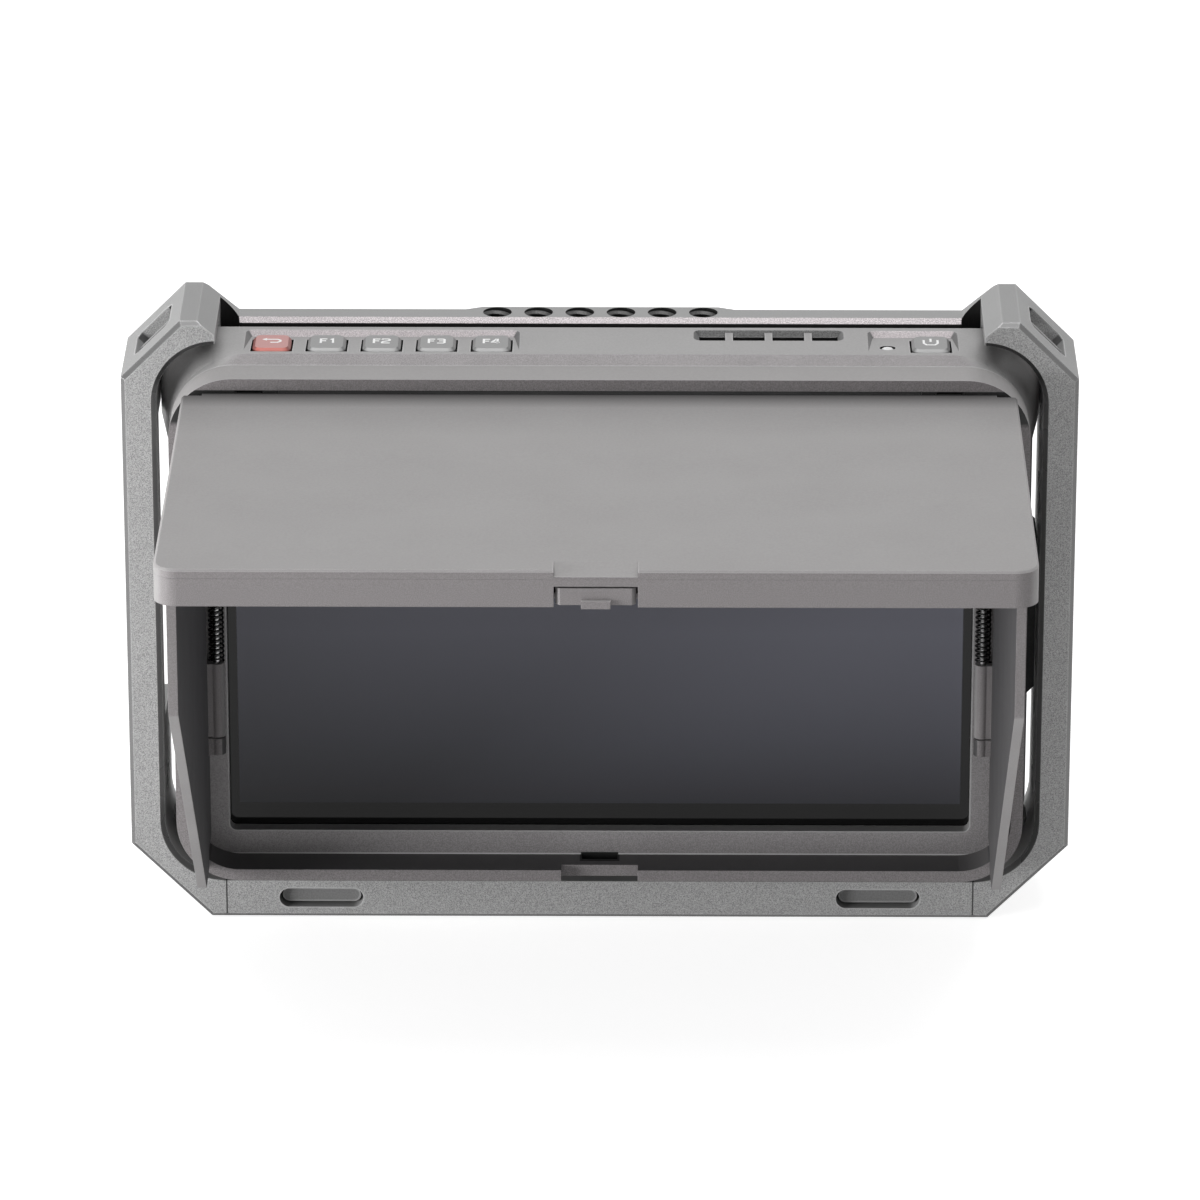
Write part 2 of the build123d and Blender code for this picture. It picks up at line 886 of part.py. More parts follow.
def panel_shield():
    """The metal tray behind the screen, with hexagonal standoffs for the main board."""
    tray = block(-screen_half - shield_side, screen_half + shield_side, shield_d, shield_back_d,
                 screen_low - shield_end, screen_high + shield_end)
    for x, z in boss_places():
        tray += through(Pos(x, z) * RegularPolygon(boss_radius, 6), shield_back_d, board_d)
    return tray


def main_board():
    """The circuit board with its chips, between the sockets and the fan."""
    board = block(board_left, board_right, board_d, board_back_d, board_low, board_high)
    for dx, dz, size in chips:
        x = board_left + dx
        z = board_low + dz
        board += block(x - size / 2, x + size / 2, board_back_d, board_back_d + chip_t,
                       z - size / 2, z + size / 2)
    return board


def board_screws():
    """The hexagonal heads of the four screws that hold the main board on its standoffs."""
    return [through(Pos(x, z) * RegularPolygon(board_head_radius, 6), board_back_d,
                    board_back_d + board_head_t) for x, z in boss_places()]


def heat_sink():
    """The finned block on the main chip."""
    base_d = board_back_d + chip_t
    x0 = board_left + chips[0][0] - sink_half_x
    z = board_low + chips[0][1]
    sink = block(x0, x0 + 2 * sink_half_x, base_d, base_d + sink_base, z - sink_half_z, z + sink_half_z)
    pitch = (2 * sink_half_x - fin_t) / (fin_count - 1)
    for n in range(fin_count):
        x = x0 + n * pitch
        sink += block(x, x + fin_t, base_d + sink_base, rear_inner_d - sink_air,
                      z - sink_half_z, z + sink_half_z)
    return sink


def fan_housing():
    """The blower's case, open to the back and up to the vents, with its bearing post."""
    inner_d = fan_front_d + fan_wall
    post_d = inner_d + bearing_length
    case = block(fan_x - fan_half, fan_x + fan_half, fan_front_d, fan_back_d,
                 fan_z - fan_half, fan_z + fan_half)
    case -= rod_y(fan_x, fan_z, fan_bore + fan_wall, inner_d, fan_back_d + over)
    case -= block(fan_x - fan_bore, fan_x + fan_bore, inner_d, fan_back_d - fan_wall,
                  fan_z, fan_z + fan_half + over)
    post = rod_y(fan_x, fan_z, bearing_radius, inner_d, post_d)
    return case + post - rod_y(fan_x, fan_z, fan_shaft + pin_gap, inner_d, post_d)


def fan_rotor():
    """The blower wheel: a cup on a shaft with blades set aside from its centre."""
    shaft_d = fan_front_d + fan_wall + moving_gap
    hub_d = fan_front_d + fan_wall + bearing_length + moving_gap
    back_d = fan_back_d - moving_gap
    rotor = rod_y(fan_x, fan_z, fan_hub, hub_d, back_d)
    rotor += rod_y(fan_x, fan_z, fan_shaft, shaft_d, hub_d)
    blade_length = fan_bore - fan_hub - moving_gap
    blade = Pos(blade_sweep, fan_hub + blade_length / 2 - moving_gap) * Rectangle(blade_t, blade_length)
    for n in range(fan_blades):
        turned = Pos(fan_x, fan_z) * Rot(0, 0, n * 360 / fan_blades) * blade
        rotor += through(turned, hub_d, back_d)
    return rotor


def fan_mounts():
    """Two rubber blocks that seat the blower on the screen's shield."""
    reach = fan_half - mount_half
    return [block(x - mount_half, x + mount_half, shield_back_d, fan_front_d,
                  fan_z - mount_height / 2, fan_z + mount_height / 2)
            for x in (fan_x - reach, fan_x + reach)]


# ---- keys, lamp and grille -----------------------------------------------------------
def key_cap(x):
    """One push key: the cap, its retaining flange under the deck, and its stem."""
    place = Pos(x, y_at(key_d))
    cap = upward(place * RectangleRounded(key_width, key_length, key_radius), flange_top, key_top)
    rim = [e for e in cap.edges() if e.bounding_box().min.Z > key_top - near]
    cap = chamfer(rim, key_bevel)
    flange = Rectangle(key_width + 2 * flange_out, key_length + 2 * flange_out)
    cap += upward(place * flange, flange_top - flange_t, flange_top)
    return cap + upward(place * Rectangle(2 * stem_half, 2 * stem_half), stem_low, flange_top)


def key_switches():
    """The push switches under the keys."""
    half = switch_size / 2
    body_top = key_board_top + switch_height - button_height
    switches = []
    for x in key_xs():
        body = block(x - half, x + half, key_d - half, key_d + half, key_board_top, body_top)
        switches.append(body + block(x - button_half, x + button_half, key_d - button_half,
                                     key_d + button_half, body_top, body_top + button_height))
    return switches


def key_boards():
    """The two narrow boards that carry the switches, each hung from the deck on two posts."""
    xs = key_xs()
    spans = ((xs[0] - key_board_end, xs[-2] + key_board_end),
             (xs[-1] - lamp_board_end, xs[-1] + key_board_end))
    front_d = key_d - key_board_width / 2
    back_d = key_d + key_board_width / 2
    boards = []
    for x0, x1 in spans:
        board = block(x0, x1, front_d, back_d, key_board_top - key_board_t, key_board_top)
        for x in (x0 + post_inset, x1 - post_inset):
            board += block(x - post_half, x + post_half, back_d - post_length, back_d,
                           key_board_top, deck_bottom)
        boards.append(board)
    return boards


def status_led():
    """The status lamp's domed light pipe beside the power key, level with the pocket's floor."""
    fall = pocket_deep * (lamp_d - pocket_front_d) / (pocket_back_d - pocket_front_d)
    pipe = rod_z(lamp_x, lamp_d, lamp_radius, key_board_top, housing_high - fall)
    return fillet(pipe.edges().sort_by(Axis.Z)[-1], lamp_dome)


def vent_grille():
    """The fine grille under the exhaust windows."""
    x0 = fan_x - vent_width / 2
    grille = block(x0 - grille_border, x0 + vent_width + grille_border,
                   vent_front_d - grille_border, vent_back_d + grille_border,
                   deck_bottom - grille_t, deck_bottom)
    pitch = vent_width / grille_slots
    for n in range(grille_slots):
        x = x0 + (n + 0.25) * pitch
        grille -= block(x, x + pitch / 2, vent_front_d, vent_back_d,
                        deck_bottom - grille_t, deck_bottom)
    return grille


# ---- sockets --------------------------------------------------------------------------
def socket_shell(name, wall):
    """One socket: its outline as a cup, open outward, with a closed inner end."""
    cup = socket(name, 0, port_outer, port_inner)
    return cup - socket(name, -wall, port_outer + over, port_inner + shell_t)


def tongue(z, half, thick):
    """The contact tongue that stands in a socket on the left side."""
    return block(-port_outer + shell_t, -port_inner - shell_t / 2, port_d - thick / 2,
                 port_d + thick / 2, z - half, z + half)


def hdmi_ports():
    """The two video sockets: steel shells round their tongues."""
    ports = []
    for n, drop in enumerate(hdmi_drops):
        shell = socket_shell(f"hdmi_{n + 1}", shell_t)
        ports.append(shell + tongue(screw_high - drop, tongue_half, tongue_t))
    return ports


def usb_port():
    """The small data socket, an oval shell round a thin tongue."""
    half = usb_tall / 2 - 2 * shell_t
    return socket_shell("usb", shell_t) + tongue(usb_z, half, tongue_t / 2)


def headphone_port():
    """The round headphone socket."""
    return socket_shell("phone", phone_radius - phone_bore)


def power_inlet():
    """The round power inlet, behind the rubber door."""
    cup = socket("dc", 0, bay_half - cover_sink - near, port_inner)
    return cup - socket("dc", dc_bore - dc_radius, bay_half, port_inner + shell_t)


def port_cover():
    """The rubber door over the sockets on the right side."""
    floor_x = bay_half - cover_sink
    low = cover_low + cover_gap
    high = cover_high - cover_gap
    view = outline([
        (floor_x, low),
        (housing_half - cover_slope, low),
        (housing_half - near, low + cover_slope),
        (housing_half - near, high - cover_slope),
        (housing_half - cover_slope, high),
        (floor_x, high),
    ])
    return through(view, cover_front_d + cover_gap, cover_back_d - cover_gap)


# ---- back -------------------------------------------------------------------------------
def intake_views():
    """Front views of the back's air slots: a row on the left and a set behind the fan."""
    first_x = plate_half + intake_pitch
    count = int((screw_half_x - rear_post_half - intake_width - first_x) // intake_pitch) + 1
    slot = Rectangle(intake_width, intake_length)
    views = [Pos(-first_x - n * intake_pitch, rear_middle) * slot for n in range(count)]
    slot = Rectangle(exhaust_width, exhaust_length)
    for n in range(exhaust_count):
        x = fan_x + (n - (exhaust_count - 1) / 2) * exhaust_pitch
        if x - exhaust_width / 2 > plate_half:
            views.append(Pos(x, fan_z) * slot)
    return views


def rear_cover():
    """The back shell with its air slots, screw seats and flat for the battery shoe."""
    view = rounded(rear_half, housing_low, rear_high, inner_radius - rear_gap)
    inner = rounded(rear_half - rear_wall, housing_low + rear_wall, rear_high - rear_wall,
                    inner_radius - rear_gap - rear_wall)
    body = through(view, housing_back_d, rear_back_d)
    body = chamfer(flat_edges(body, rear_back_d), rear_bevel)
    body -= through(inner, housing_back_d, rear_inner_d)
    for slot in intake_views():
        body -= through(slot, rear_inner_d - over, rear_back_d + over)
    seat_d = rear_back_d - screw_sink - screw_head_t
    for x, z in rear_screw_places():
        body += block(x - rear_post_half, x + rear_post_half, housing_back_d, rear_inner_d,
                      z - rear_post_half, z + rear_post_half)
        body -= rod_y(x, z, screw_head_radius + fit_gap, seat_d, rear_back_d + over)
    return body


def rear_screws():
    """The heads of the four screws that close the back."""
    head_back_d = rear_back_d - screw_sink
    heads = []
    for x, z in rear_screw_places():
        head = rod_y(x, z, screw_head_radius, head_back_d - screw_head_t, head_back_d)
        socket_view = Pos(x, z) * RegularPolygon(hex_radius, 6)
        heads.append(head - through(socket_view, head_back_d - hex_deep, head_back_d))
    return heads


def battery_plate():
    """The battery shoe: a plate with two undercut rails, a foot and a slot for the catch."""
    d0 = rear_back_d
    d1 = rear_back_d + plate_rail_t
    plate = block(-plate_half, plate_half, d0, d0 + plate_base_t, plate_low, plate_high)
    plate += block(-plate_half, plate_half, d0, d1, plate_low - plate_foot, plate_low)
    for side in (-1, 1):
        edge = side * plate_half
        plate += block(edge, edge - side * plate_rail_w, d0, d1, plate_low, plate_high - plate_open_end)
        for rise in plate_claws:
            z0 = plate_low + rise
            plate += block(edge, edge - side * (plate_rail_w + plate_claw_w),
                           d1 - plate_claw_t, d1, z0, z0 + plate_claw_length)
    slot_top = plate_low - plate_foot / 2 + catch_length + release_room
    half = catch_half + moving_gap
    groove = half + catch_flange
    flange_back_d = d0 + 2 * moving_gap + catch_flange_t
    plate -= block(-half, half, d0 - over, d1 + over, plate_low - plate_foot - over, slot_top)
    plate -= block(-groove, groove, d0 - over, flange_back_d, plate_low - plate_foot / 2, slot_top)
    return plate


def battery_contacts():
    """The contact block and its three blades at the top of the shoe."""
    d0 = rear_back_d + plate_base_t
    top = plate_high - contact_inset
    low = top - contact_length
    base = block(-contact_half, contact_half, d0, d0 + contact_t, low, top)
    for x in contact_xs:
        base += block(x - contact_blade / 2, x + contact_blade / 2, d0 + contact_blade / 2,
                      d0 + contact_t - contact_blade / 2, low - contact_length, low)
    return base


def battery_release():
    """The sprung catch at the foot of the shoe, pushed up against its spring."""
    d0 = rear_back_d + moving_gap
    low = plate_low - plate_foot / 2 + moving_gap
    top = plate_low - plate_foot / 2 + catch_length
    wide = catch_half + catch_flange
    catch = block(-catch_half, catch_half, d0, d0 + catch_t, low, top)
    catch += block(-wide, wide, d0, d0 + catch_flange_t, low, top)
    inner = catch_half - catch_flange
    return catch + block(-inner, inner, d0, d0 + catch_thumb, low, low + plate_foot)


def release_spring():
    """The small spring above the battery catch."""
    low = plate_low - plate_foot / 2 + catch_length
    return rod_z(0, rear_back_d + moving_gap + spring_radius, spring_radius, low, low + release_room)


# ---- sun hood -----------------------------------------------------------------------------
def hinge_lugs():
    """The frame's lugs under the top wall, either side of each ear of the top flap."""
    offset = (top_ear_w + lug_w) / 2 + moving_gap
    lugs = []
    for x in (-top_ear_x, top_ear_x):
        for centre in (x - offset, x + offset):
            x0 = centre - lug_w / 2
            x1 = centre + lug_w / 2
            lug = block(x0, x1, top_hinge_d - top_hinge_set, top_hinge_d + 2 * top_hinge_radius,
                        top_hinge_z, hood_in_high)
            lug += rod_x(top_hinge_d, top_hinge_z, top_hinge_radius - lug_relief, x0, x1)
            lugs.append(lug)
    return lugs


def knuckle_spans():
    """The heights of the frame's lower and upper knuckles beside each side flap."""
    return ((barrel_low - knuckle_t, barrel_low - near), (barrel_high + near, barrel_high + knuckle_t))


def side_knuckles(side):
    """The frame's lower and upper knuckles for one side flap."""
    x_axis = side * side_hinge_x
    knuckles = []
    for z0, z1 in knuckle_spans():
        knuckle = rod_z(x_axis, side_hinge_d, side_barrel_radius, z0, z1)
        knuckle += block(x_axis, side * (hood_in_half + near), side_hinge_d - side_back,
                         side_hinge_d + side_back, z0, z1)
        knuckles.append(knuckle)
    return knuckles


def top_pins():
    """The two short pins that carry the top flap."""
    reach = top_ear_w / 2 + moving_gap + lug_w
    return [rod_x(top_hinge_d, top_hinge_z, pin_radius, x - reach, x + reach)
            for x in (-top_ear_x, top_ear_x)]


def side_pins():
    """The two long pins that carry the side flaps."""
    return [rod_z(side * side_hinge_x, side_hinge_d, pin_radius, barrel_low - pin_end,
                  barrel_high + pin_end) for side in (-1, 1)]


def hood_frame():
    """The tray that clips to the bezel: four walls, snap tabs, lugs and knuckles."""
    view = rounded(front_half, front_low, front_high, front_radius)
    view -= rounded(hood_in_half, hood_in_low, hood_in_high, hood_corner)
    frame = through(view, hood_front_d, housing_front_d)
    for x, z in tab_places():
        frame += block(x - tab_half, x + tab_half, housing_front_d - tab_root,
                       housing_front_d + tab_deep, z, z + tab_t)
    for piece in [*hinge_lugs(), *side_knuckles(-1), *side_knuckles(1)]:
        frame += piece
    for pin in [*side_pins(), *top_pins()]:
        frame -= pin
    frame -= block(-notch_half, notch_half, hood_front_d - over, hood_front_d + notch_deep,
                   front_low - over, hood_in_low + over)
    slot_half = hook_half + hook_gap
    frame -= block(-slot_half, slot_half, housing_front_d - lip_slot_long, housing_front_d,
                   hood_in_low - lip_slot_deep, hood_in_low + over)
    return frame


def lifted(part):
    """A part of the top flap, turned up to where the flap stands open."""
    axis = Axis((0, y_at(top_hinge_d), top_hinge_z), (1, 0, 0))
    return part.rotate(axis, -flap_lift)


def flap_plan(inset):
    """The top flap's outline from above: square at the hinge, rounded in front."""
    back = y_at(flap_back_d)
    front = y_at(flap_front_d) + inset
    plan = Pos(0, (back + front) / 2) * Rectangle(2 * (flap_half - inset), back - front)
    corners = [v for v in plan.vertices() if v.Y < (back + front) / 2]
    return fillet(corners, flap_corner - inset)


def latch_well():
    """The pocket under the flap's front edge that the catch slides in."""
    inner = latch_half + moving_gap
    outer = inner + latch_cheek
    roof = latch_top + moving_gap
    ledge = latch_half - latch_cheek
    face_d = flap_front_d + flap_rim_t
    end_d = flap_front_d + latch_face_t + latch_length + latch_room
    floor = flap_low + latch_raise
    well = block(-outer, outer, face_d, end_d + latch_cheek, roof, flap_top - flap_plate / 2)
    well += block(-outer, outer, end_d, end_d + latch_cheek, floor, roof)
    for side in (-1, 1):
        well += block(side * inner, side * outer, face_d, end_d, floor, roof)
        well += block(side * ledge, side * outer, flap_front_d + 2 * latch_face_t, end_d,
                      floor, floor + latch_floor)
    return well


def rear_step(side):
    """The tool that cuts the top flap back at one end of its hinge line."""
    return block(side * (flap_half - flap_step_w), side * (flap_half + over),
                 flap_back_d - flap_step, flap_back_d + over, flap_low - over, flap_top + over)


def top_flap():
    """The top flap's plate, with its two hinge ears and the well for the catch."""
    flap = upward(flap_plan(0), flap_top - flap_plate, flap_top)
    brink = [e for e in flap.edges()
             if e.bounding_box().min.Z > flap_top - near
             and e.bounding_box().min.Y < y_at(flap_back_d) - near]
    flap = chamfer(brink, flap_bevel)
    flap -= [rear_step(-1), rear_step(1)]
    for x in (-top_ear_x, top_ear_x):
        x0 = x - top_ear_w / 2
        x1 = x + top_ear_w / 2
        flap += rod_x(top_hinge_d, top_hinge_z, top_hinge_radius, x0, x1)
        flap += block(x0, x1, flap_back_d - ear_reach, top_hinge_d, top_hinge_z - top_hinge_set,
                      flap_top - flap_bevel)
        flap -= rod_x(top_hinge_d, top_hinge_z, pin_radius + pin_gap, x0 - over, x1 + over)
    flap += latch_well()
    inner = latch_half + moving_gap
    front = y_at(flap_front_d)
    return flap - across(outline([
        (front - over, flap_top - latch_ramp_drop),
        (front, flap_top - latch_ramp_drop),
        (front + latch_ramp, flap_top),
        (front - over, flap_top + over),
    ]), -inner, inner)


def flap_rim():
    """The deep rim under the plate's edge: a front run with its corners, and two side runs."""
    top = flap_top - flap_plate
    rim = upward(flap_plan(0), flap_low, top) - upward(flap_plan(flap_rim_t), flap_low, top)
    rim -= [rear_step(-1), rear_step(1)]
    inner = latch_half + moving_gap
    rim -= block(-inner, inner, flap_front_d - over, flap_front_d + latch_face_t + moving_gap,
                 flap_low - over, latch_top + moving_gap)
    joint_d = flap_front_d + flap_corner
    width = flap_half + over
    front = block(-width, width, flap_front_d - over, joint_d, flap_low, top)
    left = block(-width, 0, joint_d, flap_back_d, flap_low, top)
    right = block(0, width, joint_d, flap_back_d, flap_low, top)
    return [rim & front, rim & left, rim & right]


def latch_tab():
    """The sliding catch in the top flap's front rim, with its hook."""
    face_d = flap_front_d + latch_face_t
    low = flap_low + latch_raise
    slide_low = low + latch_floor + moving_gap
    hook_out = lip_gap + latch_raise
    face = block(-latch_half, latch_half, flap_front_d, face_d, low, latch_top)
    upright = [e for e in flat_edges(face, flap_front_d) if abs((e @ 0.5).X) > latch_half - near]
    face = chamfer(upright, latch_bevel)
    tab = face + block(-latch_half, latch_half, face_d, face_d + latch_length, slide_low, latch_top)
    return tab + block(-hook_half, hook_half, flap_front_d - hook_out, face_d, flap_low,
                       flap_low + hook_height)


def latch_spring():
    """The spring behind the catch."""
    z = flap_low + latch_raise + latch_floor + moving_gap + spring_radius
    d0 = flap_front_d + latch_face_t + latch_length
    return rod_y(0, z, spring_radius, d0, d0 + latch_room)


def side_flap(side):
    """One side flap: a plate cut back along its front, on two barrels."""
    view = outline([
        (y_at(side_back_d), side_rear_low),
        (y_at(hood_front_d) - side_corner_gap, side_rear_low),
        (y_at(hood_front_d) - side_corner_gap, side_low),
        (y_at(side_foot_d), side_low),
        (y_at(side_front_d), side_top - side_kink_drop),
        (y_at(side_front_d), side_top),
        (y_at(side_back_d), side_top),
    ])
    front_corners = [v for v in view.vertices() if v.X < y_at(side_foot_d) - near]
    view = fillet(front_corners, side_rounding)
    flap = across(view, side * side_inner_half, side * side_outer_half)
    x0 = side * (side_inner_half - over)
    x1 = side * (side_outer_half + over)
    reach_d = side_hinge_d - side_back - moving_gap
    for z0, z1 in knuckle_spans():
        flap -= block(x0, x1, reach_d, side_back_d + over, z0 - moving_gap, z1 + end_gap + near)
    flap -= block(x0, x1, reach_d, side_back_d + over, coil_low, coil_high)
    x_axis = side * side_hinge_x
    for z0, z1 in ((barrel_low + end_gap, coil_low), (coil_high, barrel_high - end_gap)):
        flap += rod_z(x_axis, side_hinge_d, side_barrel_radius, z0, z1)
        flap += block(x_axis, side * (side_inner_half + end_gap), side_hinge_d - side_back,
                      side_hinge_d + side_back / 2, z0, z1)
    return flap - rod_z(x_axis, side_hinge_d, pin_radius + pin_gap, barrel_low, barrel_high)


def side_spring(side):
    """The wound torsion spring round one side pin, kept as a plain sleeve."""
    x = side * side_hinge_x
    coil = rod_z(x, side_hinge_d, side_barrel_radius - near, coil_low + near, coil_high - near)
    return coil - rod_z(x, side_hinge_d, pin_radius, coil_low, coil_high)


# ---- all the pieces -------------------------------------------------------------------------
def pieces():
    """Every node of the monitor by name, each a solid or a list of solids."""
    ring = cage_ring()
    nodes = {
        "cage_left_side": cage_side(ring, -1),
        "cage_right_side": cage_side(ring, 1),
        "cage_bottom_bar": cage_bottom_bar(ring),
        "cage_top_rail": cage_top_rail(),
        "slot_inserts": bar_slots(insert_gap, insert_sink, slot_deep),
        "base_screws": base_screws(),
        "base_pads": base_pads(),
        "front_housing": front_housing(),
        "cover_glass": cover_glass(),
        "glass_gasket": glass_gasket(),
        "lcd_panel": lcd_panel(),
        "panel_shield": panel_shield(),
        "main_board": main_board(),
        "board_screws": board_screws(),
        "heat_sink": heat_sink(),
        "fan_housing": fan_housing(),
        "fan_rotor": fan_rotor(),
        "fan_mounts": fan_mounts(),
        "key_switches": key_switches(),
        "key_boards": key_boards(),
        "status_led": status_led(),
        "vent_grille": vent_grille(),
        "hdmi_ports": hdmi_ports(),
        "usb_port": usb_port(),
        "headphone_port": headphone_port(),
        "power_inlet": power_inlet(),
        "port_cover": port_cover(),
        "rear_cover": rear_cover(),
        "rear_screws": rear_screws(),
        "battery_plate": battery_plate(),
        "battery_contacts": battery_contacts(),
        "battery_release": battery_release(),
        "release_spring": release_spring(),
        "hood_frame": hood_frame(),
        "top_flap": lifted(top_flap()),
        "flap_rim": [lifted(run) for run in flap_rim()],
        "latch_tab": lifted(latch_tab()),
        "latch_spring": lifted(latch_spring()),
        "left_flap": side_flap(-1),
        "right_flap": side_flap(1),
        "side_pins": side_pins(),
        "top_pins": top_pins(),
        "left_flap_spring": side_spring(-1),
        "right_flap_spring": side_spring(1),
    }
    for name, x in zip(("return", "f1", "f2", "f3", "f4", "power"), key_xs()):
        nodes[f"key_{name}"] = key_cap(x)
    return nodes


def main():
    os.makedirs("parts", exist_ok=True)
    for name, shape in pieces().items():
        if isinstance(shape, list):
            shape = Compound(children=shape)
        export_step(shape, f"parts/{name}.step")
        print(name)


main()
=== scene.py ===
# %% [markdown]
# # A camera field monitor with a folding sun hood
#
# The monitor is a flat aluminium box with a six inch screen. A bead-blasted guard cage stands
# round it, and a hood of three flaps keeps the sun off the glass. The sizes come from the CAD
# model, so this file only loads that model and gives it its finishes, its small parts and a
# plain studio to stand in.

# %% Load the model
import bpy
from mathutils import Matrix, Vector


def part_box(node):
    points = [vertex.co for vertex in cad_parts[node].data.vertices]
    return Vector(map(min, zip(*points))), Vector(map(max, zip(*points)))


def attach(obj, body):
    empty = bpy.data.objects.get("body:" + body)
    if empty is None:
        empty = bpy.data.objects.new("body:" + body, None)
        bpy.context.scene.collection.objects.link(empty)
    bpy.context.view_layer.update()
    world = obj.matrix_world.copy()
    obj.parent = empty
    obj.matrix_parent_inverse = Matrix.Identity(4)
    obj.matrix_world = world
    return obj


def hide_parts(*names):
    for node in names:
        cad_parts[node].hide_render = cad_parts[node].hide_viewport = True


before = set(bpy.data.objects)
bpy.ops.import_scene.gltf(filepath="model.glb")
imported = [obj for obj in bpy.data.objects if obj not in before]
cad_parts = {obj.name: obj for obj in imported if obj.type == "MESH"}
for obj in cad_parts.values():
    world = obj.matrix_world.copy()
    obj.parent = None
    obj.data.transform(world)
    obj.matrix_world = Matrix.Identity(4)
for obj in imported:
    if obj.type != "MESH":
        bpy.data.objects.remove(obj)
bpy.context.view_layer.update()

# %% [markdown]
# ## The camera
#
# A short lens close by would spread the cage's sides. A long lens from nearly a metre and a half
# away keeps them nearly parallel. It looks down at 22 degrees, so that the deck with its keys and
# the top flap both show.

# %% Set up the camera
import bpy
from mathutils import Vector

lens_at = Vector((0.008832, -1.332230, 0.595762))
looks_at = Vector((0.000058, -0.0111, 0.063437))

view = bpy.data.cameras.new("studio_camera")
view.sensor_width = 36.0
view.lens = 234.82
camera = bpy.data.objects.new("studio_camera", view)
camera.location = lens_at
camera.rotation_mode = "QUATERNION"
camera.rotation_quaternion = (looks_at - lens_at).to_track_quat("-Z", "Y")
bpy.context.scene.collection.objects.link(camera)
bpy.context.scene.camera = camera
print("the lens is", round((looks_at - lens_at).length, 3), "m away")

# %% [markdown]
# ## The lamps
#
# Three soft boxes light the monitor: a wide one overhead, a small one low on the left that makes
# the left side of the cage the brighter one, and a weak one high on the right. A sun lamp would
# be simpler, but its shadows are too hard for a studio. The power is kept low enough that a grey
# paint comes out as that grey.

# %% Hang the soft boxes
def soft_box(name, place, target, width, height, watts):
    """A flat lamp that faces its target."""
    lamp = bpy.data.lights.new(name, "AREA")
    lamp.shape = "RECTANGLE"
    lamp.size = width
    lamp.size_y = height
    lamp.energy = watts
    holder = bpy.data.objects.new(name, lamp)
    holder.location = place
    holder.rotation_mode = "QUATERNION"
    holder.rotation_quaternion = (Vector(target) - Vector(place)).to_track_quat("-Z", "Y")
    bpy.context.scene.collection.objects.link(holder)


screen_middle = (0.0, 0.0, 0.06)
soft_box("overhead_box", (0.0, -0.1, 1.3), screen_middle, 1.1, 1.1, 10.5)
soft_box("left_box", (-0.75, -0.36, 0.1), screen_middle, 0.5, 0.25, 7.2)
soft_box("right_box", (1.2, -0.4, 0.7), screen_middle, 0.7, 0.7, 0.5)
print("three soft boxes hang round the monitor")

# %% [markdown]
# ## Wiring a finish
#
# A finish is one Principled shader with small nodes in front of it. They could be placed by hand
# in the shader editor. These helpers add a node in code, wire it up and hand back its output,
# which keeps each finish below short enough to read.

# %% Start a finish and wire its nodes
def new_finish(name, roughness, metallic=0.0):
    """A material and its Principled shader."""
    finish = bpy.data.materials.new(name)
    finish.use_nodes = True
    shader = finish.node_tree.nodes["Principled BSDF"]
    shader.inputs["Roughness"].default_value = roughness
    shader.inputs["Metallic"].default_value = metallic
    return finish, shader


def feed(finish, socket, value):
    """Wires a node's output to a socket, or sets the socket to a plain value."""
    if isinstance(value, bpy.types.NodeSocket):
        finish.node_tree.links.new(value, socket)
    else:
        socket.default_value = value


def node(finish, kind, inputs=(), **settings):
    """Adds a shader node, with its settings and the values of its inputs by name or number."""
    made = finish.node_tree.nodes.new("ShaderNode" + kind)
    for name, value in settings.items():
        setattr(made, name, value)
    for name, value in inputs:
        feed(finish, made.inputs[name], value)
    return made


print("a finish starts as one shader")

# %% [markdown]
# ## Shares
#
# Most masks here are shares: values that are one where something holds and zero elsewhere, with
# a short slope between. Multiplying shares keeps what all of them cover, and the largest of them
# covers what any of them does.

# %% Work with shares
def reckon(finish, operation, first, second=0.0, third=0.0):
    """One Math node."""
    made = node(finish, "Math", ((0, first), (1, second), (2, third)), operation=operation)
    return made.outputs[0]


def times(finish, first, *others):
    """The product of some shares."""
    for share in others:
        first = reckon(finish, "MULTIPLY", first, share)
    return first


def most(finish, first, *others):
    """The largest of some shares."""
    for share in others:
        first = reckon(finish, "MAXIMUM", first, share)
    return first


def unsigned(finish, value):
    """A value without its minus sign."""
    return reckon(finish, "ABSOLUTE", value)


def ramp(finish, value, low, high, at_low=0.0, at_high=1.0):
    """Carries a value from one range to another and stops at its ends."""
    made = node(finish, "MapRange", (("Value", value), ("From Min", low), ("From Max", high),
                                     ("To Min", at_low), ("To Max", at_high)))
    return made.outputs["Result"]


def fall(finish, value, low, high):
    """One where a value is below a range and zero where it is above."""
    return ramp(finish, value, low, high, 1.0, 0.0)


print("shares can be multiplied and compared")

# %% [markdown]
# ## Place and facing
#
# A finish can change from one face to the next by where a point lies and which way the surface
# looks there. Painting a mask by hand would do that too, but it would need an unwrapped mesh. X
# runs right, Y back and Z up. A facing of one looks straight along its axis, zero looks across it
# and minus one looks the other way.

# %% Tell where a point is and which way it faces
def place_in(finish):
    """The place on the monitor, in metres, as separate X, Y and Z."""
    here = node(finish, "TexCoord").outputs["Object"]
    return node(finish, "SeparateXYZ", ((0, here),)).outputs


def facing_in(finish):
    """The way a surface faces, as separate X, Y and Z."""
    facing = node(finish, "TexCoord").outputs["Normal"]
    return node(finish, "SeparateXYZ", ((0, facing),)).outputs


print("a surface that looks at the camera has a Y facing near minus one")

# %% [markdown]
# ## Grain and tones
#
# No real surface has one flat colour. A noise breaks up two close tones, and its scale is one
# over the grain in metres, so every grain here is a real size. More tones are then laid over the
# first two, each by a share.

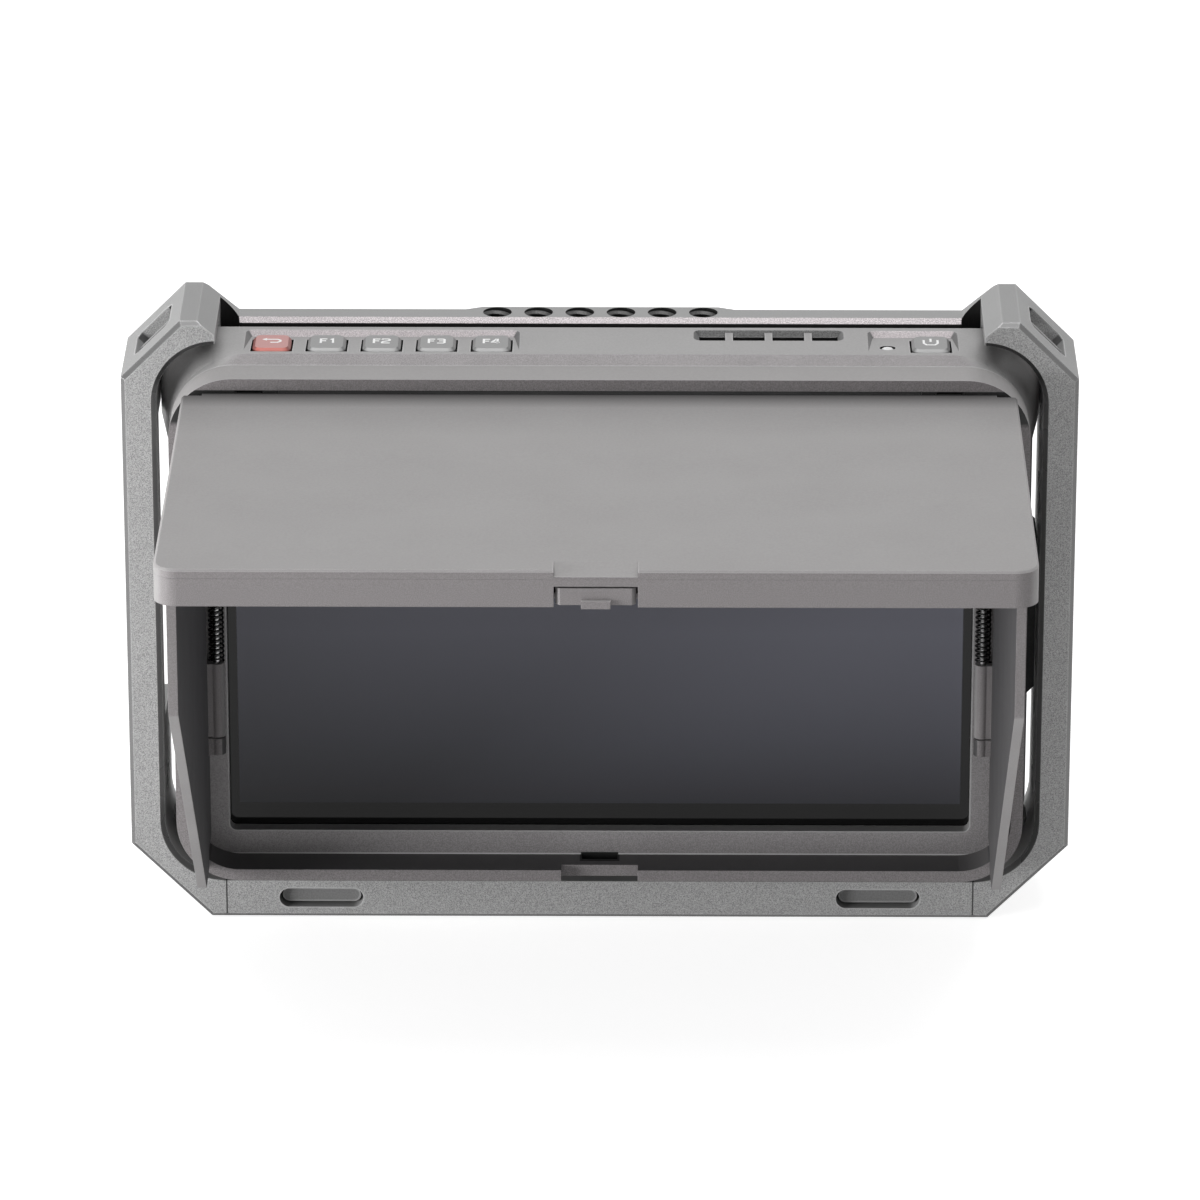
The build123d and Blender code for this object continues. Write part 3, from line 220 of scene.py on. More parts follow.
# %% Break up two tones by a grain
def speckle(finish, grain, detail=2.0):
    """A noise with grains of a real size in metres."""
    here = node(finish, "TexCoord").outputs["Object"]
    made = node(finish, "TexNoise", (("Vector", here), ("Scale", 1 / grain), ("Detail", detail)))
    return made.outputs["Fac"]


def blend(finish, share, first, second):
    """Mixes two colours."""
    made = node(finish, "Mix", ((0, share), (6, first), (7, second)), data_type="RGBA")
    return made.outputs[2]


def two_tones(finish, skin, dark, pale, low=0.3, high=0.7):
    """Two tones broken up by a noise. A narrower range parts them more sharply."""
    return blend(finish, ramp(finish, skin, low, high), dark, pale)


def coats(finish, tone, *layers):
    """Lays more tones over a first one, each by its share."""
    for share, layer in layers:
        tone = blend(finish, share, tone, layer)
    return tone


print("tones are laid over each other by their shares")

# %% [markdown]
# ## Edges and relief
#
# A moulded or machined edge is never quite sharp. The meshes could be bevelled, but the CAD parts
# keep their meshes as they are, so the shader rounds each edge for the light only. In the same
# way a grain is pressed into the surface for the light, without moving a point.

# %% Round the edges and press in a grain
def rounded_edge(finish, radius):
    """The normal of a surface whose sharp edges are broken by this radius."""
    return node(finish, "Bevel", (("Radius", radius),), samples=4).outputs[0]


def worn_highlit_edge(finish, reach):
    """The share of a sharp outside edge, which is painted bright as wear and as a painted
    highlight.
    """
    shade = node(finish, "AmbientOcclusion", (("Distance", reach),), samples=4, inside=True,
                 only_local=True)
    return fall(finish, shade.outputs["AO"], 0.62, 0.9)


def relief(finish, shader, height, depth, under=None):
    """Presses a height into the surface, this many metres deep."""
    bump = node(finish, "Bump", (("Height", height), ("Distance", depth)))
    if under is not None:
        feed(finish, bump.inputs["Normal"], under)
    feed(finish, shader.inputs["Normal"], bump.outputs[0])


print("edges can be rounded and rubbed")

# %% [markdown]
# ## Colours
#
# A paint is matched on a screen, where colours run from 0 to 255. A shader reckons in
# linear light instead. The conversion could be done by hand, but then no colour below could be
# read at a glance.

# %% Write colours as screen values
def tint(red, green, blue):
    """A colour from 0 to 255, turned into the linear values that a shader needs."""
    parts = [part / 255 for part in (red, green, blue)]
    linear = [p / 12.92 if p <= 0.04045 else ((p + 0.055) / 1.055) ** 2.4 for p in parts]
    return (*linear, 1.0)


def grey(level):
    """A neutral colour from 0 to 255."""
    return tint(level, level, level)


print("a mid grey is", round(grey(128)[0], 3), "in linear light")

# %% [markdown]
# ## The table and the backdrop
#
# The monitor stands on a plain white table top. Brighter lamps would make it white, but they
# would wash out the monitor too. So the table glows only for the eye and in reflections, and the
# shadow of the monitor still darkens it. The world behind it is the same white for the camera,
# while its light on the monitor is softer.

# %% Lay the table top
import bmesh

table_half = 3.0
table_mesh = bpy.data.meshes.new("table_top")
sheet = bmesh.new()
bmesh.ops.create_grid(sheet, x_segments=8, y_segments=8, size=table_half)
sheet.to_mesh(table_mesh)
sheet.free()
table_top = bpy.data.objects.new("table_top", table_mesh)
bpy.context.scene.collection.objects.link(table_top)
print("the table top is", round(table_top.dimensions.x, 1), "m wide")

# %% Paint the table top
table_glow = 0.8
table_white, table_shader = new_finish("table_white", 0.75)
table_shader.inputs["Base Color"].default_value = grey(208)
rays = node(table_white, "LightPath").outputs
seen = most(table_white, rays["Is Camera Ray"], rays["Is Transmission Ray"], rays["Is Glossy Ray"])
table_shader.inputs["Emission Color"].default_value = (1.0, 1.0, 1.0, 1.0)
feed(table_white, table_shader.inputs["Emission Strength"], times(table_white, seen, table_glow))
relief(table_white, table_shader, speckle(table_white, 0.004), 0.00002)
table_mesh.materials.append(table_white)
print("the table top glows at", table_glow)

# %% Light the world
world_light = 0.27
world = bpy.data.worlds.new("studio_white")
bpy.context.scene.world = world
world.use_nodes = True
sky = world.node_tree.nodes["Background"]
sky.inputs["Color"].default_value = (1.0, 1.0, 1.0, 1.0)
rays = node(world, "LightPath").outputs
seen = most(world, rays["Is Camera Ray"], rays["Is Glossy Ray"], rays["Is Transmission Ray"])
feed(world, sky.inputs["Strength"], ramp(world, seen, 0.0, 1.0, world_light, 1.0))
bpy.context.scene.view_settings.view_transform = "Standard"
print("the world lights the monitor at", world_light)

# %% [markdown]
# ## Bead-blasted cage
#
# The cage is machined from aluminium, blasted with fine glass beads and anodised grey. The
# blasting leaves a grain of about a sixth of a millimetre, which shows most on the faces that
# look straight forwards or backwards. The bevels are cut afterwards with a sharp tool, so they
# are smoother and shine more, and they are painted darker as a painted reflection; those that
# look down are painted darker still as painted shade. Outside edges are painted bright, as wear
# and as a painted highlight. An image could carry all this, but a rule does it without seams: a
# surface that faces halfway between forwards and sideways is a bevel. Where the bottom bar meets
# a side, a thin dark line shows the joint, and no edge is painted bright beside it.

# %% Tell the cage's flats from its bevels
bead_grain = 0.00017
flat_metallic, bevel_metallic = 0.12, 0.5
cage_metal, shader = new_finish("cage_metal", 0.45, flat_metallic)
bead = speckle(cage_metal, bead_grain, detail=1.0)
face = facing_in(cage_metal)
forward = unsigned(cage_metal, face["Y"])
flat = ramp(cage_metal, forward, 0.97, 0.99)
bevel = times(cage_metal, ramp(cage_metal, forward, 0.25, 0.3),
              fall(cage_metal, forward, 0.93, 0.97))
low_bevel_shade = times(cage_metal, fall(cage_metal, face["Z"], -0.3, -0.15), bevel)
print("the beads left a grain of", 1000 * bead_grain, "mm")

# %% Find the joints of the bottom bar
joint_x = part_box("cage_bottom_bar")[1].x
joint_top = (0.0120, 0.0121)
seam_half = (0.00012, 0.00016)
unrubbed_half = (0.0005, 0.0006)
at = place_in(cage_metal)
off_middle = unsigned(cage_metal, at["X"])
off_joint = unsigned(cage_metal, reckon(cage_metal, "SUBTRACT", off_middle, joint_x))
clear = most(cage_metal, ramp(cage_metal, off_joint, *unrubbed_half),
             ramp(cage_metal, at["Z"], *joint_top))
rubbed_and_highlit = times(cage_metal, worn_highlit_edge(cage_metal, 0.00035), clear)
seam = times(cage_metal, fall(cage_metal, off_joint, *seam_half),
             fall(cage_metal, at["Z"], *joint_top))
print("the bottom bar ends at", round(1000 * joint_x, 2), "mm")

# %% Colour the cage
# Painted reflection on the bevels, painted shade on the downward bevels, and outside edges painted
# bright as wear and a painted highlight.
metal = coats(cage_metal, two_tones(cage_metal, bead, grey(140), grey(148)),
              (flat, two_tones(cage_metal, bead, grey(124), grey(190))),
              (bevel, grey(104)), (low_bevel_shade, grey(58)), (rubbed_and_highlit, grey(196)), (seam, grey(52)))
feed(cage_metal, shader.inputs["Base Color"], metal)
matt = ramp(cage_metal, speckle(cage_metal, 0.02), 0.3, 0.7, 0.42, 0.5)
feed(cage_metal, shader.inputs["Roughness"], reckon(cage_metal, "MULTIPLY_ADD", bevel, -0.16, matt))
feed(cage_metal, shader.inputs["Metallic"],
     ramp(cage_metal, bevel, 0.0, 1.0, flat_metallic, bevel_metallic))
pits = times(cage_metal, bead, ramp(cage_metal, bevel, 0.0, 1.0, 1.0, 0.05))
relief(cage_metal, shader, pits, 0.00004, rounded_edge(cage_metal, 0.00015))
print("the cage has", len(cage_metal.node_tree.nodes), "nodes in its finish")

# %% [markdown]
# ## The rail
#
# The rail behind the keys is the same metal with a smoother top. Its front bevel kept the blasted
# grain and is painted paler, as a painted highlight for the light from overhead. The walls of its
# threaded holes and the face behind the deck are painted dark as painted shade. It could share the
# cage's finish, but its bevel looks up and not sideways, so it has a rule of its own.

# %% The rail, with a painted highlight on its grainy front bevel
rail_bore_back = (0.0130, 0.0132)
rail_metal, shader = new_finish("rail_metal", 0.45, metallic=0.15)
bead = speckle(rail_metal, bead_grain, detail=1.0)
face = facing_in(rail_metal)
slope = times(rail_metal, ramp(rail_metal, face["Z"], 0.5, 0.6),
              fall(rail_metal, face["Y"], -0.6, -0.5))
# Painted shade: the face behind the deck and the walls of the bores are painted dark grey.
front = fall(rail_metal, face["Y"], -0.95, -0.9)
upright = fall(rail_metal, unsigned(rail_metal, face["Z"]), 0.2, 0.3)
bored = times(rail_metal, upright, fall(rail_metal, place_in(rail_metal)["Y"], *rail_bore_back))
# Painted highlight: the front bevel is painted in pale grainy tones.
grainy_highlight = two_tones(rail_metal, bead, tint(154, 148, 150), tint(222, 215, 217), 0.35, 0.65)
tone = coats(rail_metal, two_tones(rail_metal, bead, grey(144), grey(154)),
             (slope, grainy_highlight), (most(rail_metal, front, bored), grey(26)))
feed(rail_metal, shader.inputs["Base Color"], tone)
feed(rail_metal, shader.inputs["Roughness"], ramp(rail_metal, bead, 0.3, 0.7, 0.4, 0.5))
relief(rail_metal, shader, bead, 0.00002, rounded_edge(rail_metal, 0.00015))
print("the rail has", len(rail_metal.node_tree.nodes), "nodes in its finish")

# %% [markdown]
# ## Painted housing
#
# The screen's housing is die-cast and has a fine satin powder coat. The coat's orange-peel skin
# is a few hundredths of a millimetre deep. Faces that are turned to the light at different angles
# get painted light and shade: the rear slope of the brow is painted paler, the front slope and the
# face of the bezel darker, each in two grainy tones of its own. One even paint would be shorter,
# but it would lose the folds of the casting.

# %% Tell the housing's slopes apart
housing_paint, shader = new_finish("housing_paint", 0.5, metallic=0.2)
brow = (-0.003, -0.002)
peel = speckle(housing_paint, 0.0004, detail=3.0)
grain = speckle(housing_paint, bead_grain, detail=1.0)
at = place_in(housing_paint)
face = facing_in(housing_paint)
slope = times(housing_paint, ramp(housing_paint, face["Z"], 0.3, 0.4),
              fall(housing_paint, face["Y"], -0.5, -0.3))
rear_slope = times(housing_paint, slope, ramp(housing_paint, at["Y"], *brow))
front_slope = times(housing_paint, slope, fall(housing_paint, at["Y"], *brow))
ahead = fall(housing_paint, face["Y"], -0.95, -0.85)
print("the brow turns at", 1000 * brow[0], "mm")

# %% [markdown]
# ## Painted light and shade on the housing
#
# The gap under the hood's roof, the place behind the hook, the ends of the key pockets, the holes
# round the keys and the ribs of the vent get little light. The renderer shades them by itself,
# but gaps this small come out too pale, and other lamps would change everything else too. So the
# paint is darker there, as painted shade. The strip at the foot of the bezel is painted paler than
# the rest of its face, as a painted highlight.

# %% Find the foot of the bezel and the dark places on its front
bezel_foot = (0.0134, 0.0135)
shade_low, shade_high = (0.1032, 0.1036), (0.1064, 0.1066)
hook_high, hook_half = (0.0136, 0.0137), (0.0034, 0.0035)
off_middle = unsigned(housing_paint, at["X"])
# Painted highlight: the foot of the bezel's front face is painted pale.
foot = times(housing_paint, ahead, fall(housing_paint, at["Z"], *bezel_foot))
under_roof = times(housing_paint, ramp(housing_paint, at["Z"], *shade_low),
                   fall(housing_paint, at["Z"], *shade_high))
behind_hook = times(housing_paint, fall(housing_paint, at["Z"], *hook_high),
                    fall(housing_paint, off_middle, *hook_half))
unlit = times(housing_paint, ahead, most(housing_paint, under_roof, behind_hook))
print("the front is dark under the hood's roof and behind the hook")

# %% Find the key pockets and their holes
deck_half, deck_low = (0.0695, 0.07), (0.1050, 0.1052)
hole_front = (-0.0098, -0.0096)
by_keys = times(housing_paint, fall(housing_paint, off_middle, *deck_half),
                ramp(housing_paint, at["Z"], *deck_low))
sideways = ramp(housing_paint, unsigned(housing_paint, face["X"]), 0.4, 0.5)
pocket_end = times(housing_paint, sideways, ramp(housing_paint, face["Z"], 0.4, 0.5))
pocket_end = times(housing_paint, pocket_end, by_keys)
upright = fall(housing_paint, unsigned(housing_paint, face["Z"]), 0.2, 0.3)
wall = times(housing_paint, upright, by_keys)
key_hole = times(housing_paint, wall, ramp(housing_paint, at["Y"], *hole_front))
print("the keys stand within", 1000 * deck_half[1], "mm of the middle")

# %% Find the vent in the rear slope
vent_middle, vent_half = 0.0305, (0.0150, 0.0152)
off_vent = unsigned(housing_paint, reckon(housing_paint, "SUBTRACT", at["X"], vent_middle))
in_vent = times(housing_paint, rear_slope, fall(housing_paint, off_vent, *vent_half))
print("the vent is", 2000 * vent_half[0], "mm wide")

# %% Colour the housing
def gritty(dark, pale):
    """Two tones of the housing's paint, parted by its finer grain."""
    return two_tones(housing_paint, grain, dark, pale, 0.35, 0.65)


even = two_tones(housing_paint, peel, tint(155, 154, 154), tint(163, 162, 162))
# Painted light and shade: the brow's slopes and the front faces take lit and shaded tones, the foot
# of the bezel a painted highlight, the dark places painted shade, and outside edges are painted
# bright as wear and a painted highlight.
tone = coats(housing_paint, even,
             (front_slope, gritty(tint(118, 115, 116), tint(140, 137, 138))),
             (rear_slope, gritty(tint(158, 152, 154), tint(196, 189, 191))),
             (ahead, gritty(tint(130, 127, 128), tint(156, 153, 154))),
             (foot, grey(206)), (unlit, grey(18)), (pocket_end, grey(112)),
             (in_vent, gritty(grey(50), grey(92))),
             (worn_highlit_edge(housing_paint, 0.0003), grey(190)), (key_hole, grey(22)))
feed(housing_paint, shader.inputs["Base Color"], tone)
feed(housing_paint, shader.inputs["Roughness"],
     ramp(housing_paint, speckle(housing_paint, 0.012), 0.3, 0.7, 0.46, 0.56))
relief(housing_paint, shader, peel, 0.00003, rounded_edge(housing_paint, 0.0002))
print("the housing has", len(housing_paint.node_tree.nodes), "nodes in its finish")

# %% [markdown]
# ## Hood plastic
#
# The three flaps and the hood's frame are moulded plastic with a warm grey soft-touch paint
# outside. The faces that look in at the screen are matt black, so that they throw no light on
# the glass. Each part could be split in two for that, but one finish with a rule is simpler:
# which face looks inwards follows from its place and the way it faces. Each part has its own
# rule, which gives the share that is black and the share that is painted near black as deep
# shade. The faces that look forwards are painted darker as painted shade, and the edges on top
# are painted bright as wear and as a painted highlight.

# %% Warm grey outside, matt black inside
def two_sided(name, inward, front_dark=(128, 124, 125), front_pale=(142, 138, 139)):
    """The hood's paint, with darker tones painted on the faces that look forwards as shade."""
    finish, shader = new_finish(name, 0.55)
    skin = speckle(finish, 0.00045, detail=3.0)
    outside = two_tones(finish, skin, tint(152, 150, 150), tint(158, 156, 156))
    face = facing_in(finish)
    front_shade_tones = two_tones(finish, speckle(finish, bead_grain, detail=1.0), tint(*front_dark),
                            tint(*front_pale), 0.35, 0.65)
    rubbed_and_highlit = times(finish, worn_highlit_edge(finish, 0.0003), ramp(finish, face["Z"], 0.3, 0.6))
    black, deep = inward(finish)
    # Painted shade on the front faces and in deep places; painted highlight and wear along the
    # edges on top.
    tone = coats(finish, outside, (fall(finish, face["Y"], -0.8, -0.6), front_shade_tones),
                 (rubbed_and_highlit, tint(184, 181, 182)), (black, tint(70, 69, 70)), (deep, grey(14)))
    feed(finish, shader.inputs["Base Color"], tone)
    matt = ramp(finish, speckle(finish, 0.015), 0.3, 0.7, 0.5, 0.6)
    feed(finish, shader.inputs["Roughness"], reckon(finish, "MULTIPLY_ADD", black, 0.15, matt))
    relief(finish, shader, skin, 0.00003, rounded_edge(finish, 0.0002))
    return finish


def faces_middle(finish, at, face):
    """The share of the faces that look sideways at the middle of the monitor."""
    toward_middle = times(finish, face["X"], reckon(finish, "SIGN", at["X"]))
    return fall(finish, toward_middle, -0.6, -0.5)


print("the hood's paint has two sides")

# %% The rule for the top flap
flap_back = (-0.0180, -0.0175)
hinge_edge = (-0.0204, -0.0201)


def under_the_flap(finish):
    """Black is the underside and the inner sides of the rim. Shade is painted by the hinge, darkest
    along the rear edge.
    """
    at = place_in(finish)
    face = facing_in(finish)
    below = fall(finish, face["Z"], -0.6, -0.5)
    backwards = ramp(finish, face["Y"], 0.5, 0.6)
    inner_faces = most(finish, below, faces_middle(finish, at, face), backwards)
    black = times(finish, inner_faces, fall(finish, at["Y"], *flap_back))
    hinge_shade = most(finish, ramp(finish, at["Y"], -0.0290, -0.0203, 0.0, 0.82),
                       ramp(finish, at["Y"], -0.0420, -0.0275, 0.0, 0.18),
                       ramp(finish, at["Y"], *hinge_edge))
    return black, hinge_shade


flap_paint = two_sided("flap_paint", under_the_flap)
print("the top flap is black underneath")

# %% The rule for the side flaps
plate_inside = (0.0712, 0.0714)


def inside_the_side_flap(finish):
    """Black is the face of the plate that looks at the middle of the screen."""
    at = place_in(finish)
    plate = ramp(finish, unsigned(finish, at["X"]), *plate_inside)
    return times(finish, faces_middle(finish, at, facing_in(finish)), plate), 0.0


side_flap_paint = two_sided("side_flap_paint", inside_the_side_flap)
print("the side flaps are black on the inside")

# %% The rule for the hood's frame
lip_black = 0.86
lip_high = (0.02, 0.021)
roof_low, roof_under = (0.1, 0.101), (0.1069, 0.1070)
slot_half, slot_high, slot_front = (0.0036, 0.0037), (0.0133, 0.0134), (-0.0150, -0.0148)


def inside_the_hood_frame(finish):
    """Black are the lip, the side walls and the roof. Deep shade is painted on the roof's edge and
    in the slot.
    """
    at = place_in(finish)
    face = facing_in(finish)
    lip = times(finish, ramp(finish, face["Z"], 0.6, 0.7), fall(finish, at["Z"], *lip_high))
    high_up = ramp(finish, at["Z"], *roof_low)
    roof = times(finish, fall(finish, face["Z"], -0.7, -0.6), high_up)
    roof_edge = times(finish, fall(finish, at["Z"], *roof_under), high_up,
                      fall(finish, face["Y"], -0.7, -0.6))
    hook_slot = times(finish, fall(finish, unsigned(finish, at["X"]), *slot_half),
                      fall(finish, at["Z"], *slot_high), ramp(finish, at["Y"], *slot_front))
    black = most(finish, faces_middle(finish, at, face), times(finish, lip, lip_black), roof)
    return black, most(finish, roof_edge, hook_slot)


frame_paint = two_sided("frame_paint", inside_the_hood_frame, (113, 109, 110), (139, 135, 136))
print("the hood's frame is black round the screen")

# %% [markdown]
# ## Screen glass
#
# One sheet of glass covers the display. A black print runs round its edge on the back, and the
# display behind the clear middle is off, so it is paler and bluer than the print. It is painted
# paler still towards the top, as a painted reflection. Clear glass with a display behind it would
# be slower and look the same, because the display is dark. So the glass is a dark, smooth surface
# with the live area drawn by its edges.

# %% Dark glass with its black border
screen_glass, shader = new_finish("screen_glass", 0.06)
live_half, live_low, live_high = 0.0663, 0.0222, 0.0967
blur = 0.0001
palest_at = 0.056
at = place_in(screen_glass)
off_middle = unsigned(screen_glass, at["X"])
live = times(screen_glass, fall(screen_glass, off_middle, live_half - blur, live_half + blur),
             ramp(screen_glass, at["Z"], live_low - blur, live_low + blur),
             fall(screen_glass, at["Z"], live_high - blur, live_high + blur))
# Painted reflection: the display is painted paler towards the top.
rise = ramp(screen_glass, at["Z"], live_low, palest_at)
display_and_reflection = blend(screen_glass, rise, tint(48, 48, 55), tint(116, 117, 130))
feed(screen_glass, shader.inputs["Base Color"], blend(screen_glass, live, grey(14), display_and_reflection))
shader.inputs["Specular IOR Level"].default_value = 0.25
feed(screen_glass, shader.inputs["Roughness"],
     ramp(screen_glass, speckle(screen_glass, 0.03), 0.3, 0.7, 0.05, 0.09))
print("the live screen is", round(2000 * live_half, 1), "mm wide")

# %% [markdown]
# ## Rubber, plastic and small metal parts
#
# Seals and pads are rubber, switches and sockets are plastic, and springs, screws and pins are
# steel. Each finish could be written out by itself. But they all are two close tones broken up by
# a fine grain, with a little relief and softened edges. Only their colours, gloss and grain
# differ, so one function makes them all.

# %% One recipe for the small parts
def plain_finish(name, dark, pale, roughness, grain, depth, metallic=0.0, edge=0.00015,
                 rubbed_and_highlit=None):
    """Two tones with a grain of a real size, and a third painted along worn edges as a painted
    highlight, where one is given.
    """
    finish, shader = new_finish(name, roughness, metallic)
    skin = speckle(finish, grain)
    tone = two_tones(finish, skin, dark, pale)
    if rubbed_and_highlit is not None:
        tone = blend(finish, worn_highlit_edge(finish, 0.00045), tone, rubbed_and_highlit)
    feed(finish, shader.inputs["Base Color"], tone)
    spread = ramp(finish, speckle(finish, 20 * grain), 0.3, 0.7,
                  0.85 * roughness, min(1.0, 1.15 * roughness))
    feed(finish, shader.inputs["Roughness"], spread)
    relief(finish, shader, skin, depth, rounded_edge(finish, edge))
    return finish


print("small parts share one recipe")

# %% Rubber, plastic and print
legend_white = plain_finish("legend_white", grey(246), grey(252), 0.5, 0.0004, 0.000001,
                            edge=0.00001)
rubber = plain_finish("rubber", grey(30), grey(40), 0.8, 0.0004, 0.00003)
black_plastic = plain_finish("black_plastic", grey(24), grey(32), 0.42, 0.0003, 0.00002)
fan_plastic = plain_finish("fan_plastic", grey(20), grey(28), 0.6, 0.0005, 0.00002)
# Painted highlight and wear: the inserts' edges are painted pale.
insert_rubber = plain_finish("insert_rubber", grey(112), grey(128), 0.55, 0.0003, 0.00004,
                             rubbed_and_highlit=grey(178))
circuit_board = plain_finish("circuit_board", tint(18, 56, 44), tint(24, 68, 52), 0.4, 0.0012,
                             0.00002)
lamp_lens = plain_finish("lamp_lens", grey(232), grey(240), 0.2, 0.0003, 0.000005)
print("rubber, plastic and print are ready")

# %% Small metal parts
black_steel = plain_finish("black_steel", grey(34), grey(46), 0.25, 0.0005, 0.000005, metallic=0.85)
thread_metal = plain_finish("thread_metal", grey(70), grey(92), 0.4, 0.0004, 0.000005, metallic=0.4)
steel = plain_finish("steel", grey(168), grey(186), 0.3, 0.0004, 0.000005, metallic=1.0)
sheet_steel = plain_finish("sheet_steel", grey(176), grey(192), 0.35, 0.001, 0.000005, metallic=1.0)
heat_sink_black = plain_finish("heat_sink_black", grey(30), grey(38), 0.4, 0.0004, 0.00001,
                               metallic=0.5)
panel_back = plain_finish("panel_back", grey(150), grey(162), 0.4, 0.001, 0.000005, metallic=0.6)
print("the small metal parts are ready")

# %% [markdown]
# ## Key caps
#
# A key is satin plastic with a chamfer round its top. The chamfer is painted brightest in front
# as a painted highlight and darker on the sides as painted shade, and the foot of the key is
# painted dark as the shade of its hole. Each face could take a material of its own. But the way a
# face is turned tells the top, the front cut and the side cuts apart, so each key needs only one
# finish.

# %% Key caps, with a painted highlight on the front cut round the top
key_foot = (0.1096, 0.1100)


def key_finish(name, top, front_cut, side_cut):
    """Satin plastic with a painted highlight on its front chamfer, painted shade on its side
    chamfers and a foot painted dark as shade.
    """
    finish, shader = new_finish(name, 0.4)
    skin = speckle(finish, 0.0003)
    at = place_in(finish)
    face = facing_in(finish)
    cap = two_tones(finish, skin, tint(*top), tint(*[part + 8 for part in top]))
    # Painted light: side cuts darker, front cut brighter, and the foot dark as painted shade.
    tone = coats(finish, cap, (fall(finish, face["Z"], 0.85, 0.95), tint(*side_cut)),
                 (fall(finish, face["Y"], -0.6, -0.4), tint(*front_cut)),
                 (fall(finish, at["Z"], *key_foot), grey(18)))
    feed(finish, shader.inputs["Base Color"], tone)
    feed(finish, shader.inputs["Roughness"], ramp(finish, skin, 0.3, 0.7, 0.36, 0.44))
    relief(finish, shader, skin, 0.00001, rounded_edge(finish, 0.00015))
    return finish


key_grey = key_finish("key_grey", (138, 138, 138), (178, 178, 178), (118, 118, 118))
key_red = key_finish("key_red", (186, 134, 131), (196, 110, 100), (142, 86, 82))
print("the key caps are grey and red")

# %% [markdown]
# ## Dressing the model
#
# Each part of the CAD model takes one finish. A part with several material slots takes it in all
# of them. A list by part would be longer than this one by finish, which also shows which parts
# look alike.

# %% Give every part its finish
finishes = {
    cage_metal: "cage_left_side cage_right_side cage_bottom_bar",
    rail_metal: "cage_top_rail",
    housing_paint: "front_housing rear_cover",
    frame_paint: "hood_frame",
    flap_paint: "top_flap flap_rim latch_tab",
    side_flap_paint: "left_flap right_flap",
    screen_glass: "cover_glass",
    panel_back: "lcd_panel",
    sheet_steel: "panel_shield hdmi_ports usb_port",
    steel: "side_pins top_pins board_screws",
    black_steel: "left_flap_spring right_flap_spring latch_spring release_spring base_screws "
                 "rear_screws",
    circuit_board: "main_board key_boards",
    heat_sink_black: "heat_sink",
    fan_plastic: "fan_housing fan_rotor vent_grille",
    rubber: "glass_gasket base_pads fan_mounts port_cover",
    insert_rubber: "slot_inserts",
    key_grey: "key_f1 key_f2 key_f3 key_f4 key_power",
    key_red: "key_return",
    black_plastic: "key_switches headphone_port power_inlet battery_plate battery_release "
                   "battery_contacts",
    lamp_lens: "status_led",
}
dressed = set()
for finish, names in finishes.items():
    for name in names.split():
        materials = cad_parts[name].data.materials
        for number in range(len(materials)):
            materials[number] = finish
        if not materials:
            materials.append(finish)
        dressed.add(name)
print(len(dressed), "parts are dressed, and bare are", sorted(set(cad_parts) - dressed))

# %% [markdown]
# ## Adding a small part
#
# The CAD model leaves out the print on the keys and the ridges of the threads. Ready-made balls
# and boxes wouldn't give their shapes, so each is a mesh built point by point. It takes a finish
# and rides on the body that carries it.

# %% Helper for new parts
def add_part(name, points, faces, finish, body):
    """A new mesh part that moves with a body of the model."""
    mesh = bpy.data.meshes.new(name)
    mesh.from_pydata([tuple(point) for point in points], [], faces)
    mesh.update()
    solid = bmesh.new()
    solid.from_mesh(mesh)
    bmesh.ops.recalc_face_normals(solid, faces=solid.faces)
    solid.to_mesh(mesh)
    solid.free()
    mesh.materials.append(finish)
    part = bpy.data.objects.new(name, mesh)
    bpy.context.scene.collection.objects.link(part)
    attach(part, body)


print("small parts are built point by point")

# %% [markdown]
# ## Key legends
#
# The legends are pad-printed on the keys in white: an arrow for return, F1 to F4, and the power
# sign. Text objects would bring a font with them, and these signs need only a few straight
# strokes. So each legend is drawn as strokes on a grid in millimetres and made into flat ribbons,
# a few hundredths of a millimetre thick.

# %% Make a stroke into a ribbon
ink = 0.00003
sharpest_mitre = 0.5


def ribbon(points, faces, line, centre, height, width, tip=None):
    """Adds one stroke, with mitred corners, to a legend. It starts as wide as its tip, if any."""
    path = [Vector(p) / 1000 for p in line]
    first = len(points)
    for i, here in enumerate(path):
        before = (here - path[i - 1]).normalized() if i else (path[1] - here).normalized()
        after = (path[i + 1] - here).normalized() if i + 1 < len(path) else before
        along = (before + after).normalized()
        broad = tip if tip is not None and i == 0 else width
        aside = Vector((-along.y, along.x)) * broad / 2 / max(sharpest_mitre, along.dot(before))
        for side in (-1, 1):
            x, y = here + side * aside
            for z in (0.0, ink):
                points.append((centre.x + x, centre.y + y, height + z))
    for i in range(len(path) - 1):
        a = first + 4 * i
        b = a + 4
        faces += [(a, b, b + 1, a + 1), (a + 2, a + 3, b + 3, b + 2),
                  (a + 1, b + 1, b + 3, a + 3), (a, a + 2, b + 2, b)]
    last = first + 4 * (len(path) - 1)
    faces += [(first, first + 1, first + 3, first + 2), (last, last + 2, last + 3, last + 1)]


print("the ink is", 1000 * ink, "mm thick")

